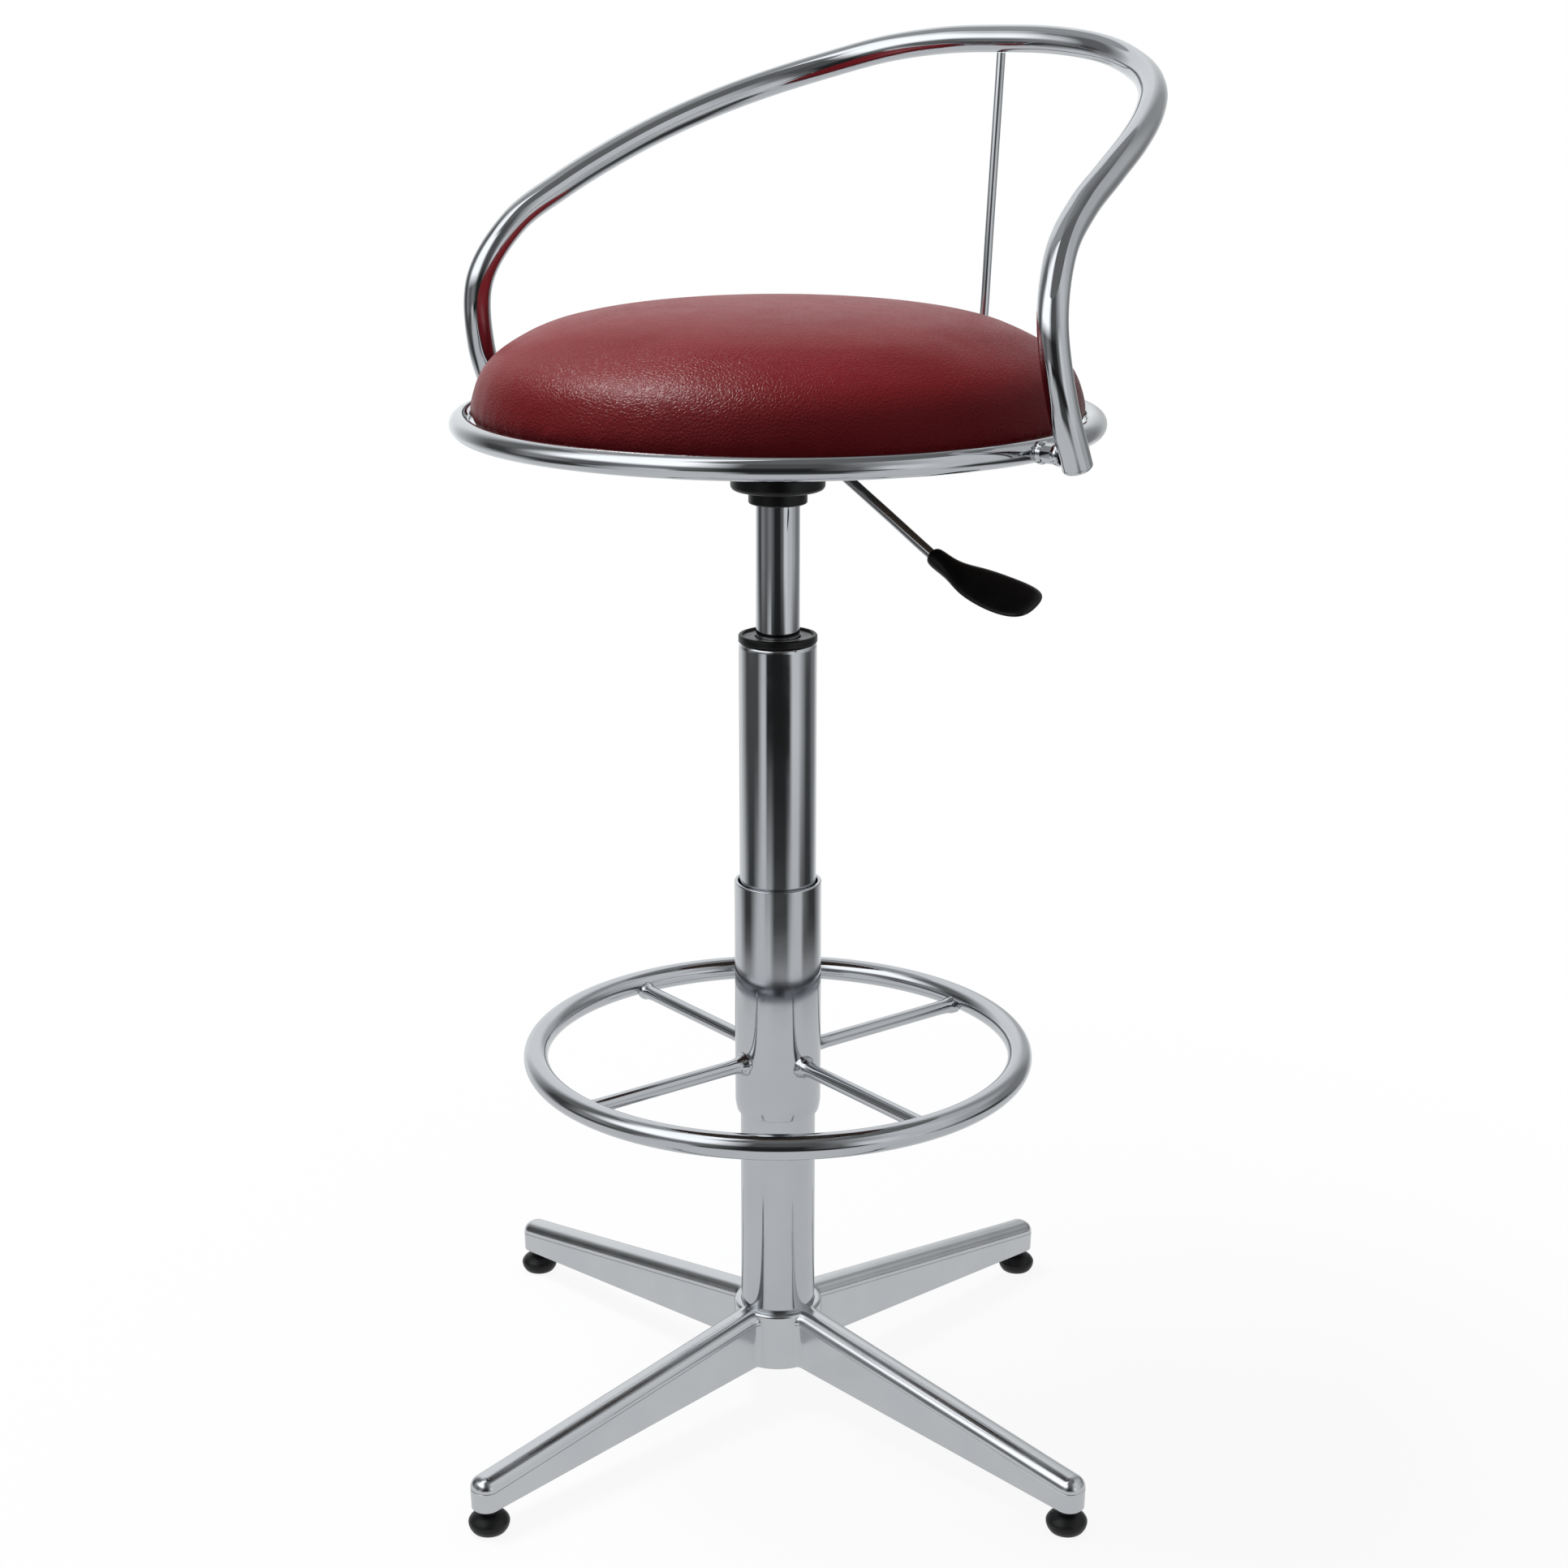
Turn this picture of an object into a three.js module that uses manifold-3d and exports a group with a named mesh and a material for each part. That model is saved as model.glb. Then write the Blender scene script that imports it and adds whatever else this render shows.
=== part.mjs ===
// A diner counter stool: a four-leg cast base, a gas-lift column with a ring to rest the feet on,
// and a round padded seat that swivels inside a chromed ring with a bent tube for a back.
// Lengths are millimetres and +Z is up. The origin is on the floor, on the column's axis.
// The sitter faces -Y, so the back stands towards +Y, and the lift lever points towards +X.

import * as THREE from 'three';
import { mergeVertices } from 'three/addons/utils/BufferGeometryUtils.js';
import Module from 'manifold-3d';

const wasm = await Module();
wasm.setup();

// Clearances that the whole stool shares
const seatingGap = 0.3;
const runningGap = 0.6;
const cutOverrun = 5;

// Base casting: a hub and four legs, turned a little from the way that the sitter faces
const legCount = 4;
const legTurn = 7;
const hubWall = 5;
const hubBottom = 29.5;
const hubHeight = 40;
const hubLipRadius = 12;
const hubLipThickness = 4.5;
const beadWall = 4;
const beadHeight = 1.8;
const beadShares = [[0, 0], [0, 0.6], [0.2, 0.9], [0.45, 1]];
const legLength = 267;
const legHalfWidthAtHub = 10;
const legHalfWidthAtTip = 9.7;
const legDepthAtTip = 20.5;
const legBottomAtTip = 18.5;
const legShoulder = 8.5;
const legWall = 3;
const legRoof = 6;
const shoulderAngles = [0, 30, 60, 90];
const tipAngles = [25, 45, 62, 76];

// Glides under the leg tips
const glideInset = 11;
const glideRadius = 13.3;
const glideContactRadius = 10;
const glideDomeHeight = 13.5;
const glideNeckRadius = 5.5;
const glideDomeShares = [[0.93, 0.13], [1, 0.36], [0.93, 0.62], [0.7, 0.86]];
const studRadius = 4;
const studLength = 25;
const studFoot = 6;

// Column and what sits in it
const columnRadius = 25;
const columnWall = 2;
const columnTop = 529;
const capThickness = 5.5;
const capStemLength = 8;
const capRimHeight = 1.5;
const capRimWidth = 2.6;
const guideLength = 140;
const footPlateThickness = 4;
const footPlateLift = 2;

// Footrest
const collarWall = 3.2;
const collarDrop = 42;
const collarLength = 161;
const collarRounding = 11;
const collarFootShares = [[0.5, 0], [0.85, 0.4], [1, 1]];
const footRingRadius = 161;
const footRingTube = 8;
const footRingHeight = 251;
const spokeCount = 4;
const spokeRadius = 4.75;
const spokeDrop = 4;
const spokeTurn = 14.6;

// Gas spring: a pressure tube that slides on a rod, and a thrust bearing under the rod
const pressureTubeRadius = 14;
const pressureTubeWall = 2;
const pressureTubeShown = 111;
const pressureTubeLength = 410;
const taperLength = 18;
const taperDraw = 0.6;
const pistonRodRadius = 5;
const pistonRodEndRadius = 4;
const pistonRodReach = 96;
const pistonThickness = 12;
const rodGuideLength = 16;
const valveBlockLength = 39;
const valveBlockDrop = 1;
const raceRadius = 13;
const raceThickness = 2;
const bearingCageThickness = 3.2;
const bumpStopRadius = 12;
const bumpStopLength = 14;
const rodWasherRadius = 9;
const rodWasherThickness = 1.5;
const rodClipRadius = 7;
const rodClipThickness = 1.2;

// Release pin in the top of the pressure tube
const pinRadius = 2.2;
const pinHeadRadius = 3;
const pinHeadThickness = 3;
const pinRise = 6.4;
const pinStemLength = 27;
const pinTravel = 3;

// Socket, cover and plate under the seat
const socketGrip = 11;
const socketWall = 3.2;
const leverSlotPlay = 1.15;
const leverSlotBelow = 2.35;
const leverSlotAbove = 0.95;
const coverOverlap = 8;
const coverFlangeHeight = 9.4;
const coverFlangeWidth = 12.5;
const coverNeckHeight = 8.6;
const coverNeckWall = 1.2;
const coverEdge = 0.6;
const plateAboveLever = 11.3;
const seatPlateThickness = 3;
const seatPlateSide = 150;
const seatPlateCorner = 14;
const boltInset = 19;
const boltRadius = 3;
const boltHeadRadius = 5.5;
const boltHeadHeight = 4.2;
const boltShortfall = 2.2;
const boltHeadShares = [[0.75, 1], [1, 0.6], [1, 0]];
const insertWall = 1.6;
const armCount = 4;
const armWidth = 20;
const armThickness = 4;
const armMeetingGap = 2;

// Lift lever
const leverPlay = 0.35;
const leverRodRadius = 3.25;
const leverInnerEnd = -1;
const pivotOffset = 26;
const barrelRadius = 5.5;
const barrelHalfWidth = 7;
const pivotStubRadius = 2.5;
const earThickness = 3;
const earHalfLength = 6;
const earDrop = 6.5;
const leverBendStart = 33;
const leverReach = 193;
const leverFall = 74;
const gripHalfWidth = 16;
const gripHalfHeight = 6.6;

// Seat
const seatRingRadius = 197;
const seatRingTube = 7;
const ringAboveArms = 3.4;
const boardMargin = 7;
const boardThickness = 12;
const coverLipThickness = 1;
const coverLipWidth = 24;
const cushionInset = 5.7;
const cushionWaistGap = 2.6;
const cushionLift = 9;
const cushionRise = 63;
const crownRoundness = 2.49;
const crownFullness = 2.73;

// Back tube and its centre rod
const backTubeRadius = 9;
const backTubeWall = 1.5;
const backSideGap = 14;
const backRearGap = 30.5;
const backRise = 228;
const backStudRadius = 6;
const endCapThickness = 2.4;
const endCapStem = 6;
const endCapEdge = 0.8;
const backRodRadius = 3;
const backRodLean = 0.083;
const backRodBendRise = 41;
const backRodDrop = 5;
const backRodBendShares = [[1, 1], [0.5, 0.62], [0, 0.27]];

// Numbers of faces round the pieces
const largeRound = 36;
const mediumRound = 20;
const smallRound = 12;
const ringSteps = 56;
const tubeSides = 10;
const thinTubeSides = 8;
const backSteps = 60;
const backRodSteps = 26;
const leverSteps = 22;
const cushionRound = 48;
const crownSteps = 10;
const cornerSegments = 6;

// Finishes
const chrome = { color: 0xd2d4d7, roughness: 0.08, metalness: 1 };
const polishedAluminium = { color: 0xc3c5c8, roughness: 0.25, metalness: 1 };
const steel = { color: 0x9c9ea2, roughness: 0.35, metalness: 1 };
const blackPlastic = { color: 0x17171a, roughness: 0.5, metalness: 0 };
const blackRubber = { color: 0x1b1b1b, roughness: 0.85, metalness: 0 };
const whitePlastic = { color: 0xd9d7cf, roughness: 0.5, metalness: 0 };
const blackSteel = { color: 0x222326, roughness: 0.45, metalness: 0.4 };
const plywood = { color: 0xb98c58, roughness: 0.75, metalness: 0 };
const redVinyl = { color: 0x7a1a20, roughness: 0.42, metalness: 0 };

// Sizes worked out from the ones above
const degrees = Math.PI / 180;
const hubRadius = columnRadius + hubWall;
const hubTop = hubBottom + hubHeight;
const beadRadius = columnRadius + beadWall;
const legTopAtTip = legBottomAtTip + legDepthAtTip;
const glideCircleRadius = legLength - glideInset;
const columnFoot = hubBottom + hubLipThickness + seatingGap;
const columnBore = columnRadius - columnWall;
const tubeBore = pressureTubeRadius - pressureTubeWall;
const footPlateBottom = columnFoot + footPlateLift;
const footPlateTop = footPlateBottom + footPlateThickness;
const lowerRaceBottom = footPlateTop + seatingGap;
const cageBottom = lowerRaceBottom + raceThickness + seatingGap;
const upperRaceBottom = cageBottom + bearingCageThickness + seatingGap;
const bumpStopBottom = upperRaceBottom + raceThickness + seatingGap;
const rodWasherTop = footPlateBottom - seatingGap;
const rodClipTop = rodWasherTop - rodWasherThickness - seatingGap;
const collarRadius = columnRadius + seatingGap + collarWall;
const collarBottom = footRingHeight - collarDrop;
const collarTop = collarBottom + collarLength;
const spokeHeight = footRingHeight - spokeDrop;
const pressureTubeTop = columnTop + pressureTubeShown;
const pressureTubeBottom = pressureTubeTop - pressureTubeLength;
const pistonRodTop = pressureTubeBottom + pistonRodReach;
const pinHeadTop = pressureTubeTop + pinRise;
const leverHeight = pinHeadTop + leverPlay + leverRodRadius;
const leverSlotHalfWidth = leverRodRadius + leverSlotPlay;
const leverSlotBottom = leverHeight - leverRodRadius - leverSlotBelow;
const leverSlotTop = leverHeight + leverRodRadius + leverSlotAbove;
const socketRadius = pressureTubeRadius + seatingGap + socketWall;
const socketBottom = pressureTubeTop - socketGrip;
const coverTop = socketBottom + coverOverlap;
const coverStep = coverTop - coverFlangeHeight;
const coverBottom = coverStep - coverNeckHeight;
const coverNeckRadius = socketRadius + coverNeckWall;
const coverFlangeRadius = socketRadius + coverFlangeWidth;
const seatPlateBottom = leverHeight + plateAboveLever;
const boltOffset = seatPlateSide / 2 - boltInset;
const armInnerRadius = armWidth / 2 + armMeetingGap;
const armBottom = seatPlateBottom + seatPlateThickness + seatingGap;
const armTop = armBottom + armThickness;
const lipBottom = armTop + seatingGap;
const boardBottom = lipBottom + coverLipThickness + seatingGap;
const boardTop = boardBottom + boardThickness;
const boltTop = boardTop - boltShortfall;
const seatRingHeight = armTop + ringAboveArms;
const seatRingInner = seatRingRadius - seatRingTube;
const seatRingOuter = seatRingRadius + seatRingTube;
const boardRadius = seatRingInner - boardMargin;
const cushionRadius = seatRingRadius - cushionInset;
const cushionWaistRadius = seatRingInner - cushionWaistGap;
const cushionWidest = seatRingHeight + cushionLift;
const backHalfWidth = seatRingOuter + backSideGap + backTubeRadius;
const backDepth = seatRingOuter + backRearGap + backTubeRadius;
const backTop = seatRingHeight + backRise;
const insertRadius = boltRadius + seatingGap + insertWall;

// Merges the corners that faces share, drops faces that shrank to nothing and turns the rest outward.
function closed(geometry) {
  const bare = geometry.clone();
  bare.deleteAttribute('normal');
  bare.deleteAttribute('uv');
  const merged = mergeVertices(bare);
  const places = merged.attributes.position;
  const faces = Array.from(merged.index.array);
  const kept = [];
  const [a, b, c] = [new THREE.Vector3(), new THREE.Vector3(), new THREE.Vector3()];
  const perFace = [a, b, c].length;
  let volume = 0;
  for (let i = 0; i < faces.length; i += perFace) {
    const face = faces.slice(i, i + perFace);
    if (new Set(face).size < perFace) continue;
    [a, b, c].forEach((corner, k) => corner.fromBufferAttribute(places, face[k]));
    volume += a.dot(b.cross(c));
    kept.push(face);
  }
  merged.setIndex(kept.flatMap((face) => (volume < 0 ? face.reverse() : face)));
  return merged;
}

function toSolid(geometry) {
  const shape = closed(geometry);
  const mesh = new wasm.Mesh({
    numProp: shape.attributes.position.itemSize,
    vertProperties: Float32Array.from(shape.attributes.position.array),
    triVerts: Uint32Array.from(shape.index.array),
  });
  return new wasm.Manifold(mesh);
}

function toGeometry(solid) {
  const mesh = solid.getMesh();
  const geometry = new THREE.BufferGeometry();
  const places = Float32Array.from(mesh.vertProperties);
  geometry.setAttribute('position', new THREE.BufferAttribute(places, mesh.numProp));
  geometry.setIndex(Array.from(mesh.triVerts));
  return geometry;
}

function cut(body, ...tools) {
  return toGeometry(tools.reduce((solid, tool) => solid.subtract(toSolid(tool)), toSolid(body)));
}

function join(body, ...others) {
  return toGeometry(others.reduce((solid, other) => solid.add(toSolid(other)), toSolid(body)));
}

// Turns a profile of [radius, height] points round the Z axis.
function turned(profile, sides) {
  const points = profile.map(([radius, height]) => new THREE.Vector2(radius, height));
  return new THREE.LatheGeometry(points, sides).rotateX(90 * degrees);
}

// A sleeve between two radii and two heights.
function sleeve(inner, outer, bottom, top, sides) {
  return turned([[inner, bottom], [outer, bottom], [outer, top], [inner, top], [inner, bottom]], sides);
}

function rod(radius, bottom, top, sides) {
  return turned([[0, bottom], [radius, bottom], [radius, top], [0, top]], sides);
}

// A round bar along +X from one distance to another, at a height.
function bar(radius, from, to, height, sides) {
  const length = to - from;
  return new THREE.CylinderGeometry(radius, radius, length, sides)
    .rotateZ(-90 * degrees).translate(from + length / 2, 0, height);
}

function ring(radius, tube, height, sides, steps) {
  return new THREE.TorusGeometry(radius, tube, sides, steps).translate(0, 0, height);
}

// A round section pushed along a curve, with a bore when one is given.
function tubeAlong(curve, radius, bore, sides, steps) {
  const shape = new THREE.Shape(circlePoints(radius, sides));
  if (bore) shape.holes.push(new THREE.Path(circlePoints(bore, sides)));
  return new THREE.ExtrudeGeometry(shape, { extrudePath: curve, steps, bevelEnabled: false });
}

function circlePoints(radius, sides) {
  return Array.from({ length: sides }, (_, k) => {
    const angle = 2 * Math.PI * k / sides;
    return new THREE.Vector2(radius * Math.cos(angle), radius * Math.sin(angle));
  });
}

// Joins sections that have the same number of points into one skin with both ends closed.
function loft(sections) {
  const count = sections[0].length;
  const places = sections.flat().flatMap((point) => point.toArray());
  const faces = [];
  for (let s = 0; s + 1 < sections.length; s += 1) {
    for (let k = 0; k < count; k += 1) {
      const a = s * count + k;
      const b = s * count + (k + 1) % count;
      faces.push(a, b, b + count, a, b + count, a + count);
    }
  }
  const last = (sections.length - 1) * count;
  for (let k = 1; k + 1 < count; k += 1) {
    faces.push(0, k + 1, k);
    faces.push(last, last + k, last + k + 1);
  }
  const geometry = new THREE.BufferGeometry();
  const perPoint = places.length / (sections.length * count);
  geometry.setAttribute('position', new THREE.Float32BufferAttribute(places, perPoint));
  geometry.setIndex(faces);
  return geometry;
}

const stool = new THREE.Group();
const baseGroup = new THREE.Group();
const footrestGroup = new THREE.Group();
baseGroup.rotation.z = -legTurn * degrees;
footrestGroup.rotation.z = -spokeTurn * degrees;
stool.add(baseGroup, footrestGroup);

function add(name, geometry, finish, parent = stool) {
  const shape = closed(geometry);
  shape.computeVertexNormals();
  const mesh = new THREE.Mesh(shape, new THREE.MeshStandardMaterial(finish));
  mesh.name = name;
  parent.add(mesh);
  return mesh;
}

// Base casting. A leg is a row of sections along +X, with a round tip, hollow below.
const legTipStart = legLength - legHalfWidthAtTip;
// The bottom comes level a little before the tip, where the glide is screwed in.
const flatTipShare = 1.06;

function legShape(distance) {
  const share = Math.min((distance - hubRadius) / (legTipStart - hubRadius), 1);
  return {
    halfWidth: THREE.MathUtils.lerp(legHalfWidthAtHub, legHalfWidthAtTip, share),
    top: THREE.MathUtils.lerp(hubTop, legTopAtTip, share),
    bottom: THREE.MathUtils.lerp(hubBottom, legBottomAtTip, Math.min(share * flatTipShare, 1)),
  };
}

function legSection(distance, narrowing) {
  const { halfWidth, top, bottom } = legShape(distance);
  const width = halfWidth * narrowing;
  const shoulder = legShoulder * narrowing;
  const droop = (1 - narrowing) * legShoulder / 2;
  const shoulderPoint = (centre, angle) => [
    centre + shoulder * Math.cos(angle * degrees),
    top - droop - shoulder + shoulder * Math.sin(angle * degrees),
  ];
  const points = [
    [-width, bottom],
    ...shoulderAngles.map((angle) => shoulderPoint(shoulder - width, 180 - angle)),
    ...shoulderAngles.map((angle) => shoulderPoint(width - shoulder, 90 - angle)),
    [width, bottom],
  ];
  return points.map(([across, height]) => new THREE.Vector3(distance, across, height));
}

function legGeometry() {
  const sections = [legSection(columnRadius + columnWall, 1), legSection(legTipStart, 1)];
  for (const angle of tipAngles) {
    const along = legTipStart + legHalfWidthAtTip * Math.sin(angle * degrees);
    sections.push(legSection(along, Math.cos(angle * degrees)));
  }
  return loft(sections);
}

// The hollow under a leg, which stops short of the solid tip.
function legHollow() {
  const hollowEnd = glideCircleRadius - glideRadius - legWall;
  const sections = [hubRadius, hollowEnd].map((distance) => {
    const { halfWidth, top, bottom } = legShape(distance);
    const width = halfWidth - legWall;
    const corner = legShoulder - legWall;
    const outline = [
      [-width, bottom - cutOverrun],
      [-width, top - legRoof - corner],
      [corner - width, top - legRoof],
      [width - corner, top - legRoof],
      [width, top - legRoof - corner],
      [width, bottom - cutOverrun],
    ];
    return outline.map(([across, height]) => new THREE.Vector3(distance, across, height));
  });
  return loft(sections);
}

function starBase() {
  const beadTop = hubTop + beadHeight;
  const bore = columnRadius + seatingGap;
  const hub = turned([
    [hubLipRadius, hubBottom],
    [hubRadius, hubBottom],
    [hubRadius, hubTop - seatingGap],
    ...beadShares.map(([inward, up]) => [beadRadius - inward * beadHeight, hubTop + up * beadHeight]),
    [bore, beadTop],
    [bore, columnFoot - seatingGap],
    [hubLipRadius, columnFoot - seatingGap],
    [hubLipRadius, hubBottom],
  ], largeRound);
  const legs = [];
  const hollows = [rod(bore, columnFoot - seatingGap, beadTop + cutOverrun, largeRound)];
  const studHoleTop = studFoot + studLength + seatingGap;
  for (let k = 0; k < legCount; k += 1) {
    const angle = 2 * Math.PI * k / legCount;
    legs.push(legGeometry().rotateZ(angle));
    hollows.push(legHollow().rotateZ(angle));
    hollows.push(rod(studRadius + seatingGap, legBottomAtTip - cutOverrun, studHoleTop, smallRound)
      .translate(glideCircleRadius, 0, 0).rotateZ(angle));
  }
  return cut(join(hub, ...legs), ...hollows);
}

add('star_base', starBase(), polishedAluminium, baseGroup);

// Glides: a black dome with a neck, on a threaded stud that screws up into the leg.
const glideProfile = [
  [0, 0],
  [glideContactRadius, 0],
  ...glideDomeShares.map(([out, up]) => [out * glideRadius, up * glideDomeHeight]),
  [glideNeckRadius, glideDomeHeight],
  [glideNeckRadius, legBottomAtTip - seatingGap],
  [studRadius + seatingGap, legBottomAtTip - seatingGap],
  [studRadius + seatingGap, studFoot - seatingGap],
  [0, studFoot - seatingGap],
];
for (let k = 0; k < legCount; k += 1) {
  const angle = 2 * Math.PI * k / legCount;
  const glide = turned(glideProfile, mediumRound).translate(glideCircleRadius, 0, 0).rotateZ(angle);
  const stud = rod(studRadius, studFoot, studFoot + studLength, smallRound)
    .translate(glideCircleRadius, 0, 0).rotateZ(angle);
  add(`glide_${k + 1}`, glide, blackPlastic, baseGroup);
  add(`glide_stud_${k + 1}`, stud, steel, baseGroup);
}

// Column: the tube, the plate in its foot, the sleeve that guides the gas spring, and the top cap.
const guideBore = pressureTubeRadius + runningGap;
const capBottom = columnTop + seatingGap;
const capTop = capBottom + capThickness;
const capStemBottom = columnTop - capStemLength;
const liningRadius = columnBore - seatingGap;
add('column_tube', sleeve(columnBore, columnRadius, columnFoot, columnTop, largeRound), chrome);
add('column_foot_plate', sleeve(pistonRodEndRadius + runningGap, liningRadius,
  footPlateBottom, footPlateTop, mediumRound), steel);
const guideTop = capStemBottom - seatingGap;
add('column_guide_sleeve', sleeve(guideBore, liningRadius,
  guideTop - guideLength, guideTop, mediumRound), whitePlastic);
add('column_cap', turned([
  [guideBore, capStemBottom],
  [liningRadius, capStemBottom],
  [liningRadius, capBottom],
  [columnRadius, capBottom],
  [columnRadius + seatingGap, capBottom + capRimHeight],
  [columnRadius + seatingGap, capTop - capRimHeight],
  [columnRadius - capRimHeight, capTop],
  [guideBore + capRimWidth, capTop],
  [guideBore + capRimWidth, capTop + capRimHeight],
  [guideBore, capTop + capRimHeight],
  [guideBore, capStemBottom],
], mediumRound), blackPlastic);

// Footrest: a collar on the column, a ring, and four spokes whose ends are cut to what they meet.
const collarBore = columnRadius + seatingGap;
add('footrest_collar', turned([
  [collarBore, collarBottom],
  ...collarFootShares.map(([out, up]) => (
    [collarBore + out * collarWall, collarBottom + up * collarRounding])),
  [collarRadius, collarTop - seatingGap],
  [collarRadius - seatingGap, collarTop],
  [collarBore, collarTop],
  [collarBore, collarBottom],
], largeRound), chrome);
const footRing = ring(footRingRadius, footRingTube, footRingHeight, tubeSides, ringSteps);
add('foot_ring', footRing, chrome, footrestGroup);
const spokeEnd = footRingRadius - footRingTube / 2;
const spokeCuts = [
  ring(footRingRadius, footRingTube + seatingGap, footRingHeight, tubeSides, ringSteps),
  rod(collarRadius + seatingGap, spokeHeight - footRingTube, spokeHeight + footRingTube, largeRound),
];
for (let k = 0; k < spokeCount; k += 1) {
  const angle = 2 * Math.PI * k / spokeCount;
  const spoke = bar(spokeRadius, collarRadius - collarWall, spokeEnd, spokeHeight, tubeSides)
    .rotateZ(angle);
  add(`foot_spoke_${k + 1}`, cut(spoke, ...spokeCuts), chrome, footrestGroup);
}

// Thrust bearing on the foot plate, and what turns on it: the rod with its stop, washer and clip.
add('bearing_lower_race', sleeve(pistonRodEndRadius + runningGap, raceRadius, lowerRaceBottom,
  lowerRaceBottom + raceThickness, mediumRound), steel);
add('bearing_cage', sleeve(pistonRodEndRadius + runningGap, raceRadius, cageBottom,
  cageBottom + bearingCageThickness, mediumRound), steel);
add('bearing_upper_race', sleeve(pistonRodEndRadius + seatingGap, raceRadius, upperRaceBottom,
  upperRaceBottom + raceThickness, mediumRound), steel);
add('rod_bump_stop', sleeve(pistonRodRadius + seatingGap, bumpStopRadius, bumpStopBottom,
  bumpStopBottom + bumpStopLength, mediumRound), blackRubber);
add('piston_rod', turned([
  [0, hubBottom],
  [pistonRodEndRadius, hubBottom],
  [pistonRodEndRadius, bumpStopBottom],
  [pistonRodRadius, bumpStopBottom],
  [pistonRodRadius, pistonRodTop],
  [0, pistonRodTop],
], mediumRound), steel);
add('piston', turned([
  [pistonRodRadius + seatingGap, pistonRodTop - pistonThickness],
  [tubeBore - seatingGap, pistonRodTop - pistonThickness],
  [tubeBore - seatingGap, pistonRodTop],
  [pistonRodRadius + seatingGap, pistonRodTop],
  [pistonRodRadius + seatingGap, pistonRodTop - pistonThickness],
], mediumRound), blackRubber);
add('rod_washer', sleeve(pistonRodEndRadius + seatingGap, rodWasherRadius,
  rodWasherTop - rodWasherThickness, rodWasherTop, mediumRound), steel);
add('rod_clip', sleeve(pistonRodEndRadius + seatingGap, rodClipRadius,
  rodClipTop - rodClipThickness, rodClipTop, mediumRound), steel);

// Pressure tube with the rod guide in its lower end and the valve block in its tapered top.
const taperStart = pressureTubeTop - taperLength;
const valveBlockTop = pressureTubeTop - valveBlockDrop;
const pinBottom = pinHeadTop - pinHeadThickness - pinStemLength;
add('pressure_tube', turned([
  [tubeBore, pressureTubeBottom],
  [pressureTubeRadius, pressureTubeBottom],
  [pressureTubeRadius, taperStart],
  [pressureTubeRadius - taperDraw, pressureTubeTop],
  [tubeBore, pressureTubeTop],
  [tubeBore, pressureTubeBottom],
], mediumRound), chrome);
add('rod_guide', sleeve(pistonRodRadius + seatingGap, tubeBore - seatingGap, pressureTubeBottom,
  pressureTubeBottom + rodGuideLength, mediumRound), whitePlastic);
add('valve_block', turned([
  [0, valveBlockTop - valveBlockLength],
  [tubeBore - seatingGap, valveBlockTop - valveBlockLength],
  [tubeBore - seatingGap, valveBlockTop],
  [pinRadius + seatingGap, valveBlockTop],
  [pinRadius + seatingGap, pinBottom - pinTravel - seatingGap],
  [0, pinBottom - pinTravel - seatingGap],
], mediumRound), whitePlastic);
add('release_pin', turned([
  [0, pinBottom],
  [pinRadius, pinBottom],
  [pinRadius, pinHeadTop - pinHeadThickness],
  [pinHeadRadius, pinHeadTop - pinHeadThickness],
  [pinHeadRadius, pinHeadTop],
  [0, pinHeadTop],
], smallRound), steel);

// Socket that grips the taper, with a slot for the lever, and the two-step cover round it.
const socketTop = seatPlateBottom - seatingGap;
const socketTaper = taperDraw * (pressureTubeTop - socketBottom) / taperLength;
const socketBody = turned([
  [pressureTubeRadius + seatingGap, socketBottom],
  [socketRadius, socketBottom],
  [socketRadius, socketTop],
  [pressureTubeRadius + seatingGap, socketTop],
  [pressureTubeRadius + seatingGap - socketTaper, pressureTubeTop],
  [pressureTubeRadius + seatingGap, socketBottom],
], mediumRound);
const slotReach = socketRadius + cutOverrun;
const slotHeight = leverSlotTop - leverSlotBottom;
const leverSlot = new THREE.BoxGeometry(slotReach, 2 * leverSlotHalfWidth, slotHeight)
  .translate(slotReach / 2, 0, leverSlotBottom + slotHeight / 2);
add('taper_socket', cut(socketBody, leverSlot), steel);
add('socket_cover', turned([
  [pressureTubeRadius + seatingGap, coverBottom],
  [coverNeckRadius - coverEdge, coverBottom],
  [coverNeckRadius, coverBottom + coverEdge],
  [coverNeckRadius, coverStep],
  [coverFlangeRadius - coverEdge, coverStep],
  [coverFlangeRadius, coverStep + coverEdge],
  [coverFlangeRadius, coverTop - coverEdge],
  [coverFlangeRadius - coverEdge, coverTop],
  [socketRadius + seatingGap, coverTop],
  [socketRadius + seatingGap, socketBottom - seatingGap],
  [pressureTubeRadius + seatingGap, socketBottom - seatingGap],
  [pressureTubeRadius + seatingGap, coverBottom],
], mediumRound), blackPlastic);

// Seat plate: a square of pressed steel with round corners and a bolt hole at each corner.
const corners = [[1, 1], [-1, 1], [-1, -1], [1, -1]];

function seatPlateShape() {
  const flat = seatPlateSide / 2 - seatPlateCorner;
  const outline = new THREE.Shape();
  corners.forEach(([x, y], k) => {
    const start = k * Math.PI / 2;
    outline.absarc(x * flat, y * flat, seatPlateCorner, start, start + Math.PI / 2, false);
  });
  for (const [x, y] of corners) {
    const hole = new THREE.Path();
    hole.absarc(x * boltOffset, y * boltOffset, boltRadius + seatingGap, 0, 2 * Math.PI, true);
    outline.holes.push(hole);
  }
  return outline;
}

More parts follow.
